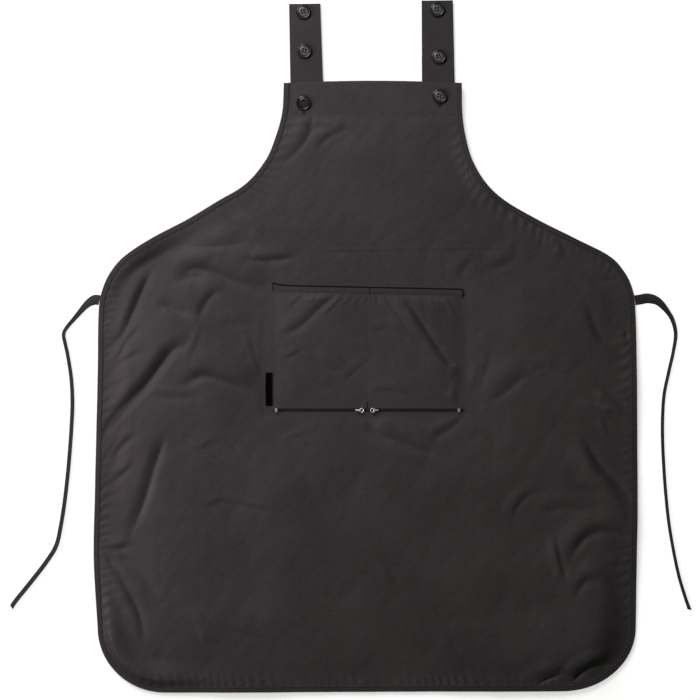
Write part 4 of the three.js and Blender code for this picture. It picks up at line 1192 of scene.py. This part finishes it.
tab = laid_grid("label_tab_satin", TAB["columns"], TAB["rows"], tab_place, SATIN_TAB, TAB["thick"])
tab_y = np.linspace(TAB["bottom"] + TAB_SEAM["end"], TAB["top"] - TAB_SEAM["end"], TAB_SEAM["steps"])
tab_line = side_by_side(POCKET["left"] - TAB_SEAM["in"], tab_y, TAB["mid"] + TAB_SEAM["up"])
tab_stitches = stitches("label_tab_stitches", tab_line, BLACK_THREAD, **TAB_STITCH)


# Zips
def tooth_shape():
    bm = bmesh.new()
    bmesh.ops.create_uvsphere(bm, u_segments=TOOTH["around"], v_segments=TOOTH["rings"], radius=1)
    bmesh.ops.scale(bm, verts=bm.verts, vec=TOOTH["size"])
    bm.verts.index_update()
    return bm


zip_tapes, zip_coils = {}, {}
for side, (start, end) in ZIP_RUN.items():
    def zip_place(u, v, start=start, end=end):
        y = ZIP_TAPE["y"] + (v - 0.5) * ZIP_TAPE["width"]
        sag = ZIP_TAPE["sag"] * np.cos((v - 0.5) * 2 * math.pi)
        return side_by_side(blend(start, end, u), y, ZIP_SEAT - ZIP_TAPE["down"] + sag)

    zip_tapes[side] = laid_grid(
        f"zip_tape_{side}", ZIP_TAPE["columns"], ZIP_TAPE["rows"], zip_place, ZIP_TAPE_CLOTH,
        ZIP_TAPE["thick"],
    )
    places = []
    for i, x in enumerate(np.arange(start + TOOTH["first"], end - TOOTH["last"], TOOTH["pitch"])):
        sign = 1 if i % 2 else -1
        tilt = Matrix.Rotation(math.radians(sign * TOOTH["tilt"]), 3, "Z")
        y = ZIP_TAPE["y"] + sign * TOOTH["shift"]
        places.append((np.array(tilt), np.array((x, y, ZIP_SEAT + TOOTH["up"]))))
    zip_coils[side] = many(f"zip_coil_{side}", tooth_shape(), places, ZIP_NYLON)


def edged(bm, width, segments=2):
    """Rounds the sharp edges of a small metal piece."""
    sharp = [e for e in bm.edges if e.is_manifold and e.calc_face_angle() > SHARP_ANGLE]
    bmesh.ops.bevel(
        bm, geom=sharp, offset=width, offset_type="OFFSET", affect="EDGES",
        segments=segments, profile=0.5, material=-1,
    )


def thickened(bm, faces, high):
    """Lifts a copy of flat faces and closes the sides between."""
    lifted = bmesh.ops.extrude_face_region(bm, geom=faces)
    tops = [g for g in lifted["geom"] if isinstance(g, bmesh.types.BMVert)]
    bmesh.ops.translate(bm, verts=tops, vec=(0, 0, high))
    bmesh.ops.recalc_face_normals(bm, faces=bm.faces)


def prism(bm, outline, low, high):
    """A flat plate of the given outline."""
    face = bm.faces.new([bm.verts.new((x, y, low)) for x, y in outline])
    thickened(bm, [face], high - low)


def ring_of(x, radius, angles):
    return [(x + radius * math.cos(a), radius * math.sin(a)) for a in angles]


def full_turn(steps):
    return np.linspace(0, 2 * math.pi, steps, endpoint=False)


def to_place(bm, turn, move):
    """Turns a small piece about the upright axis and sets it in place, in metres."""
    bmesh.ops.rotate(bm, verts=bm.verts, matrix=Matrix.Rotation(turn, 3, "Z"))
    bmesh.ops.translate(bm, verts=bm.verts, vec=move)
    bmesh.ops.scale(bm, verts=bm.verts, vec=(MM, MM, MM))


def slider_plate():
    """A keyhole plate: a narrow tail, and a ring under the pull."""
    bm = bmesh.new()
    turn = np.linspace(-SLIDER["neck"], SLIDER["neck"], SLIDER["ring_steps"])
    ring = ring_of(SLIDER["ring_x"], SLIDER["ring"], turn)
    tail = [(SLIDER["tail_x"], SLIDER["tail"]), (SLIDER["tail_x"], -SLIDER["tail"])]
    hole = ring_of(SLIDER["hole_x"], SLIDER["hole"], full_turn(SLIDER["hole_steps"]))
    edges = []
    for loop in ([*ring, *tail], hole):
        verts = [bm.verts.new((x, y, 0)) for x, y in loop]
        edges += [bm.edges.new((a, b)) for a, b in zip(verts, verts[1:] + verts[:1])]
    bmesh.ops.triangle_fill(bm, use_beauty=True, use_dissolve=True, edges=edges)
    thickened(bm, bm.faces[:], SLIDER["plate"])
    edged(bm, SLIDER["bevel"])
    return bm


def slider_sides(bm):
    for y in (SLIDER_SIDE["off"], -SLIDER_SIDE["off"]):
        made_box = bmesh.ops.create_cube(bm, size=1)
        bmesh.ops.scale(bm, verts=made_box["verts"], vec=SLIDER_SIDE["size"])
        bmesh.ops.translate(bm, verts=made_box["verts"], vec=(SLIDER_SIDE["x"], y, SLIDER_SIDE["z"]))


def slider_crown():
    """The bridge on the slider: a bent bar whose two feet stand on the plate."""
    bm = bmesh.new()
    foot, roof, ridge = CROWN["foot"], CROWN["roof"], CROWN["ridge"]
    back, front, bar, slope = CROWN["back"], CROWN["front"], CROWN["bar"], CROWN["slope"]
    arch = [
        (back, foot), (back + bar, foot), (back + bar, roof), (front - bar, roof), (front - bar, foot),
        (front, foot), (front, roof), (front - slope, ridge), (back + slope, ridge), (back, roof),
    ]
    prism(bm, arch, -CROWN["half"], CROWN["half"])
    edged(bm, CROWN["bevel"])
    bmesh.ops.rotate(bm, verts=bm.verts, matrix=Matrix.Rotation(math.pi / 2, 3, "X"))
    return bm


def pull_place(u, v):
    """A loop of round wire: a straight bar under the bridge and a bow out to its tip."""
    angle, around = v * 2 * math.pi, u * 2 * math.pi
    cos, sin = np.cos(angle), np.sin(angle)
    bow = PULL["bow"] + PULL["bow_reach"] * cos
    bar = PULL["bar"] + PULL["bar"] * cos
    out = np.where(cos > PULL["bar_from"], bow, bar)
    side = PULL["half"] * np.sign(sin) * np.abs(sin) ** PULL["square"]
    ahead = unit(side_by_side(-sin * PULL["bar"], cos * PULL["half"], 0))
    aside = side_by_side(ahead[:, 1], -ahead[:, 0], 0)
    wire = aside * np.cos(around)[:, None] + np.array(UP) * np.sin(around)[:, None]
    return side_by_side(out, side, 0) + PULL["wire"] * wire


sliders, pulls, stops = {}, {}, {}
for side, sign in SIDES.items():
    turn = 0 if side == "left" else math.pi
    seat = (SLIDER_X[side], ZIP_Y, SLIDER_SEAT)
    plate = slider_plate()
    slider_sides(plate)
    to_place(plate, turn, seat)
    crown = slider_crown()
    to_place(crown, turn, seat)
    sliders[side] = [
        from_bmesh(f"zip_slider_plate_{side}", plate, NICKEL, False),
        from_bmesh(f"zip_slider_crown_{side}", crown, NICKEL, False),
    ]

    def pull_here(u, v, facing=-sign, hinge=(SLIDER_X[side], ZIP_Y, PULL_HINGE_Z)):
        return pull_place(u, v) * (facing, facing, 1) + hinge

    pulls[side] = laid_grid(
        f"zip_pull_loop_{side}", PULL["around"], PULL["steps"], pull_here, NICKEL, around=True
    )
    stop = bmesh.new()
    oval = [(STOP["long"] * math.cos(a), STOP["wide"] * math.sin(a)) for a in full_turn(STOP["around"])]
    prism(stop, oval, 0, STOP["high"])
    edged(stop, STOP["bevel"], STOP["bevel_steps"])
    to_place(stop, 0, (STOP_X[side], ZIP_Y, SLIDER_SEAT))
    stops[side] = from_bmesh(f"zip_stop_clip_{side}", stop, NICKEL, False)


# Buttons
def button_disc():
    """A dished button with a rolled rim and four holes."""
    bm = bmesh.new()
    verts = [bm.verts.new((BUTTON_RADIUS * x, 0, BUTTON_HEIGHT * z)) for x, z in BUTTON_PROFILE]
    edges = [bm.edges.new(pair) for pair in zip(verts, verts[1:])]
    bmesh.ops.spin(
        bm, geom=[*verts, *edges], cent=(0, 0, 0), axis=(0, 0, 1), dvec=(0, 0, 0),
        angle=2 * math.pi, steps=BUTTON_STEPS, use_merge=True, use_duplicate=False,
    )
    bmesh.ops.remove_doubles(bm, verts=bm.verts, dist=1e-4)
    bmesh.ops.recalc_face_normals(bm, faces=bm.faces)
    disc = from_bmesh("button_blank", bm, BUTTON_RESIN)
    drills = bmesh.new()
    offs = (-BUTTON_HOLE_OFF, BUTTON_HOLE_OFF)
    for x, y in ((x, y) for x in offs for y in offs):
        made_drill = bmesh.ops.create_cone(
            drills, cap_ends=True, segments=DRILL["around"], radius1=BUTTON_HOLE, radius2=BUTTON_HOLE,
            depth=DRILL["deep"],
        )
        bmesh.ops.translate(drills, verts=made_drill["verts"], vec=(x, y, DRILL["z"]))
    drill = from_bmesh("button_drill", drills, BUTTON_RESIN)
    cut = disc.modifiers.new("holes", "BOOLEAN")
    cut.object = drill
    cut.operation = "DIFFERENCE"
    cut.solver = "EXACT"
    bpy.context.view_layer.update()
    done = bpy.data.meshes.new_from_object(disc.evaluated_get(bpy.context.evaluated_depsgraph_get()))
    for scrap in (disc, drill):
        bpy.data.objects.remove(scrap)
    return done


BUTTON_MESH = button_disc()
buttons, button_threads = {}, []
for row in BUTTONS:
    name = row["name"]
    seat = (row["x"], row["y"], BIB_BUTTON_SEAT if row["on_bib"] else BUTTON_SEAT)
    lean = Matrix.Rotation(math.radians(row["lean"]), 4, "X")
    turn = lean @ Matrix.Rotation(math.radians(row["turn"]), 4, "Z")
    mesh = BUTTON_MESH.copy()
    mesh.transform(Matrix.Scale(MM, 4) @ Matrix.Translation(seat) @ turn)
    mesh.materials.clear()
    buttons[name] = made(f"{name}_disc", mesh, BUTTON_RESIN)
    spin = turn.to_3x3()
    places = []
    for side_y in (-BUTTON_HOLE_OFF, BUTTON_HOLE_OFF):
        for strand in STRANDS:
            local = Vector((0, side_y + strand, STRAND_Z))
            places.append((np.array(spin), np.array(spin @ local) + seat))
    button_threads.append(many(f"{name}_thread", thread_shape(**STRAND), places, THREAD))
    if row["on_bib"]:
        shank = bmesh.new()
        bmesh.ops.create_cone(
            shank, cap_ends=True, segments=SHANK["around"], radius1=SHANK["foot"], radius2=SHANK["top"],
            depth=SHANK["height"],
        )
        to_place(shank, 0, (row["x"], row["y"], SHANK["seat"] + SHANK["height"] / 2))
        button_threads.append(from_bmesh(f"{name}_shank", shank, THREAD))


# Buttonholes under the bib's buttons
buttonholes = []
for row in (button for button in BUTTONS if button["on_bib"]):
    name, middle = row["name"], row["x"]
    low, high = row["y"] - SLIT_BELOW, row["y"] + SLIT_ABOVE
    ys = np.arange(low, high, HOLE_SEAM["pitch"])
    z = body_mid(np.full_like(ys, middle), ys) + CLOTH / 2
    places = []
    for off in (-HOLE_SEAM["off"], HOLE_SEAM["off"]):
        for point in side_by_side(middle + off, ys, z + HOLE_SEAM["up"]):
            places.append((np.eye(3), point))
    quarter = np.array(Matrix.Rotation(math.pi / 2, 3, "Z"))
    for off in np.linspace(-HOLE_SEAM["bar"], HOLE_SEAM["bar"], HOLE_SEAM["bar_threads"]):
        point = (middle + off, low - HOLE_SEAM["bar_below"], z[0] + HOLE_SEAM["up"])
        places.append((quarter, np.array(point)))
    buttonholes.append(many(f"{name}_hole_stitches", thread_shape(**HOLE_STITCH), places, THREAD))
    # A near-black strip laid on the cloth along the slit: painted shadow of the opening
    slit_shadow_line = side_by_side(middle, ys, z + SLIT_SHADOW_STRIP["up"])[::SLIT_SHADOW_STRIP["every"]]
    slit_shadow_stations = [(point, UP, SLIT_SHADOW_STRIP["width"]) for point in slit_shadow_line]
    buttonholes.append(ribbon(
        f"{name}_slit", slit_shadow_stations, SLIT_SHADOW_STRIP["columns"], SLIT_SHADOW_STRIP["rows"], PAINTED_SLIT_SHADOW, SLIT_SHADOW_STRIP["thick"]
    ))


# Straps
def crossing():
    def slope(strap):
        return (STRAP_WAIST_Y - STRAP_BEND_Y) / (strap["waist_x"] - strap["bib_x"])

    left, right = STRAPS["left"], STRAPS["right"]
    x = (slope(left) * left["bib_x"] - slope(right) * right["bib_x"]) / (slope(left) - slope(right))
    return np.array((x, STRAP_BEND_Y + slope(left) * (x - left["bib_x"]), 0))


def strap_stations(side):
    strap = STRAPS[side]
    radius = (STRAP_FRONT - STRAP_BACK) / 2
    middle = (STRAP_FRONT + STRAP_BACK) / 2
    fold_y = strap["top_y"] - radius - STRAP_CLOTH / 2
    stations = [
        ((strap["bib_x"], STRAP_END_Y, STRAP_FRONT), UP, STRAP_BIB_WIDTH),
        ((strap["bib_x"], BIB_TOP["y"], STRAP_FRONT), UP, STRAP_BIB_WIDTH),
    ]
    for turn in np.linspace(0, math.pi, STRAP_TURN_STEPS + 1):
        normal = (0, math.sin(turn), math.cos(turn))
        point = (strap["top_x"], fold_y + radius * normal[1], middle + radius * normal[2])
        stations.append((point, normal, STRAP_TOP_WIDTH))
    bend = np.array((strap["bib_x"], STRAP_BEND_Y, STRAP_BACK))
    waist = np.array((strap["waist_x"], STRAP_WAIST_Y, STRAP_BACK))
    stations.append((bend, DOWN, STRAP_TOP_WIDTH))
    if strap["over"]:
        ramp = BRIDGE_HALF + BRIDGE_RAMP
        heights = (STRAP_BACK, STRAP_FRONT, STRAP_FRONT, STRAP_BACK)
        for along, height in zip((-ramp, -BRIDGE_HALF, BRIDGE_HALF, ramp), heights):
            point = crossing() + unit(waist - bend) * along
            stations.append(((point[0], point[1], height), DOWN, STRAP_TOP_WIDTH))
    stations.append((waist, DOWN, STRAP_TOP_WIDTH))
    return stations


def strap_wave(ripple):
    def wave(side, along):
        soft = waves(along, side * STRAP_WAVE_HALF, **ripple)
        rolled = -STRAP_ROLL * np.abs(side) ** STRAP_ROLL_POWER
        return soft * (1 - np.abs(side) ** STRAP_FADE_POWER) + rolled

    return wave


straps, strap_lengths = {}, {}
for side in SIDES:
    name, stations = f"strap_{side}", strap_stations(side)
    strap_lengths[side] = float(lengths_along(np.array([s[0] for s in stations], float))[-1])
    straps[side] = ribbon(
        f"{name}_cloth", stations, STRAP_COLUMNS, STRAP_ROWS, STRAP_POLYESTER_PAINTED_SHADE, STRAP_CLOTH,
        strap_wave(RIPPLES[name]),
    )


# Ties
def tie_stations(side):
    shares = np.linspace(0, 1, TIE_STEPS + 1)
    run = spaced(smooth_run(TIES[side]), shares)
    way = unit(np.gradient(run[:, :2], axis=0))
    tilt = np.radians(run[:, 2])
    aside = side_by_side(-way[:, 1], way[:, 0], 0)
    normal = np.outer(np.cos(tilt), UP) + aside * np.sin(tilt)[:, None]
    lying = TIE_WIDTH / 2 * np.abs(np.sin(tilt)) + TIE_FLAT_MID * np.cos(tilt)
    root = np.maximum(0, SKIRT_MID - lying) * ease(TIE_ROOT, 0, shares)
    points = np.column_stack([run[:, :2], lying + root])
    return [(p, n, TIE_WIDTH) for p, n in zip(points, normal)]


ties, tie_paths = {}, {}
for side in SIDES:
    stations = tie_stations(side)
    tie_paths[side] = np.array([s[0] for s in stations]) * MM
    ties[side] = ribbon(f"tie_{side}_tape", stations, TIE_COLUMNS, TIE_STEPS, TIE_TAPE, TIE_CLOTH)


# What rides on what, and what stands for which solid
def stands_for(pieces, slot, *nodes, body_name="root"):
    for piece in pieces:
        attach(piece, body_name)
    if nodes:
        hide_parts(*nodes)


stands_for([body, body_reverse, hem_stitches, *buttonholes], "polyester", "body_panel")
stands_for([edge_tape, edge_stitches_and_shade], "tape", "edge_binding")
stands_for([pocket, *pocket_seams], "polyester", "pocket_panel")
stands_for([mouth_tape, mouth_stitches, mouth_shadow_sheet, *bar_tacks], "tape", "pocket_binding")
stands_for([tab, tab_stitches], "woven_tab", "label_tab")
for side in SIDES:
    stands_for([zip_tapes[side], zip_coils[side]], "zip_nylon", f"zip_chain_{side}")
    stands_for([stops[side]], "nickel", f"zip_stop_{side}")
    stands_for(sliders[side], "nickel", f"zip_slider_{side}")
    stands_for([pulls[side]], "nickel", f"zip_pull_{side}", body_name=f"pull_{side}")
    stands_for([straps[side]], "polyester", f"strap_{side}")
    stands_for([ties[side]], "tape", f"tie_{side}")
for row in BUTTONS:
    stands_for([buttons[row["name"]]], "button_resin", row["name"])
stands_for(button_threads, "tape")

for side in SIDES:
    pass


# Floor, light and camera
FLOOR_SIZE = 40
FLOOR_GLOW = 0.3
FLOOR_GRAIN = 6.0
FLOOR_TONES = ((0.86, 0.86, 0.86), (0.88, 0.88, 0.88))
WORLD_TINT = (0.9, 1, 0.8, 1)
WORLD_STRENGTH = 0.1


def floor_piece():
    bm = bmesh.new()
    bmesh.ops.create_grid(bm, x_segments=1, y_segments=1, size=FLOOR_SIZE)
    material, tree, shader = new_finish(
        "white_table", Roughness=0.8, Specular_IOR_Level=0.1,
        Emission_Color=(1, 1, 1, 1), Emission_Strength=FLOOR_GLOW,
    )
    where = tree.nodes.new("ShaderNodeTexCoord").outputs["Object"]
    grain = add_node(tree, "ShaderNodeTexNoise", Scale=FLOOR_GRAIN)
    tree.links.new(where, grain.inputs["Vector"])
    tree.links.new(two_tone(tree, grain.outputs[0], *FLOOR_TONES), shader.inputs["Base Color"])
    return from_bmesh("white_floor", bm, material)


table = floor_piece()
table.visible_diffuse = False
table.visible_glossy = False


def softbox(name, place, aim, size, power, tint):
    light = bpy.data.lights.new(name, "AREA")
    light.size = size
    light.energy = power
    light.color = tint
    lamp = bpy.data.objects.new(name, light)
    lamp.location = place
    lamp.rotation_euler = (Vector(aim) - Vector(place)).to_track_quat("-Z", "Y").to_euler()
    lamp.visible_camera = False
    bpy.context.scene.collection.objects.link(lamp)
    return lamp


def light_group(name, pieces):
    group = bpy.data.collections.new(name)
    for piece in pieces:
        group.objects.link(piece)
    return group


pieces = [o for o in bpy.context.scene.objects if o.type == "MESH" and o is not table]
dull_pieces = [o for o in pieces if o not in buttons.values()]
shading_pieces = [o for o in pieces if o not in ties.values()]
LIGHTS = rows_of("name place aim size power tint", [
    ("key_above", (-0.55, 1.15, 1.15), (0.0, 0.0, 0.0), 0.75, 22, (1, 0.91, 0.945)),
    ("side_left", (-1.75, -0.05, 1.05), (0.0, 0.0, 0.0), 0.7, 25.5, (0.98, 1, 0.96)),
    ("blush_left", (-0.8, -0.1, 0.6), (-0.1, -0.05, 0.0), 0.4, 1.6, (1, 0.5, 0.72)),
    ("table_overhead", (-0.1, 0.1, 2.0), (0.0, 0.0, 0.0), 2.2, 24, (1, 1, 1)),
    ("table_low", (-5.2, 8.8, 3.8), (0.0, -0.2, 0.0), 5.2, 1500, (1, 1, 1)),
    ("button_glow", (0.0, 0.55, 1.2), (0.0, 0.38, 0.0), 0.5, 1.3, (0.93, 0.88, 1)),
])
RECEIVERS = {
    "key_above": pieces, "side_left": dull_pieces, "blush_left": dull_pieces,
    "table_overhead": [table], "table_low": [table], "button_glow": buttons.values(),
}
lamps = {row["name"]: softbox(**row) for row in LIGHTS}
for name, lamp in lamps.items():
    lamp.light_linking.receiver_collection = light_group(f"{name}_receivers", RECEIVERS[name])

# The thin ties stand on edge, and the low light would draw their shadows too long
lamps["table_low"].light_linking.blocker_collection = light_group("table_low_blockers", shading_pieces)

world = bpy.data.worlds.new("studio")
bpy.context.scene.world = world
world.use_nodes = True
world.node_tree.nodes["Background"].inputs["Color"].default_value = WORLD_TINT
world.node_tree.nodes["Background"].inputs["Strength"].default_value = WORLD_STRENGTH

bpy.context.scene.view_settings.view_transform = "Standard"

LENS = 85
SENSOR = 36
camera_data = bpy.data.cameras.new("camera")
camera_data.lens = LENS
camera_data.sensor_width = SENSOR
camera_data.dof.use_dof = False
camera = bpy.data.objects.new("camera", camera_data)
camera_x, camera_y = spot(*PHOTO_MIDDLE)
camera.location = (camera_x * MM, camera_y * MM, PHOTO_WIDTH * PIXEL * MM * LENS / SENSOR)
bpy.context.scene.collection.objects.link(camera)
bpy.context.scene.camera = camera
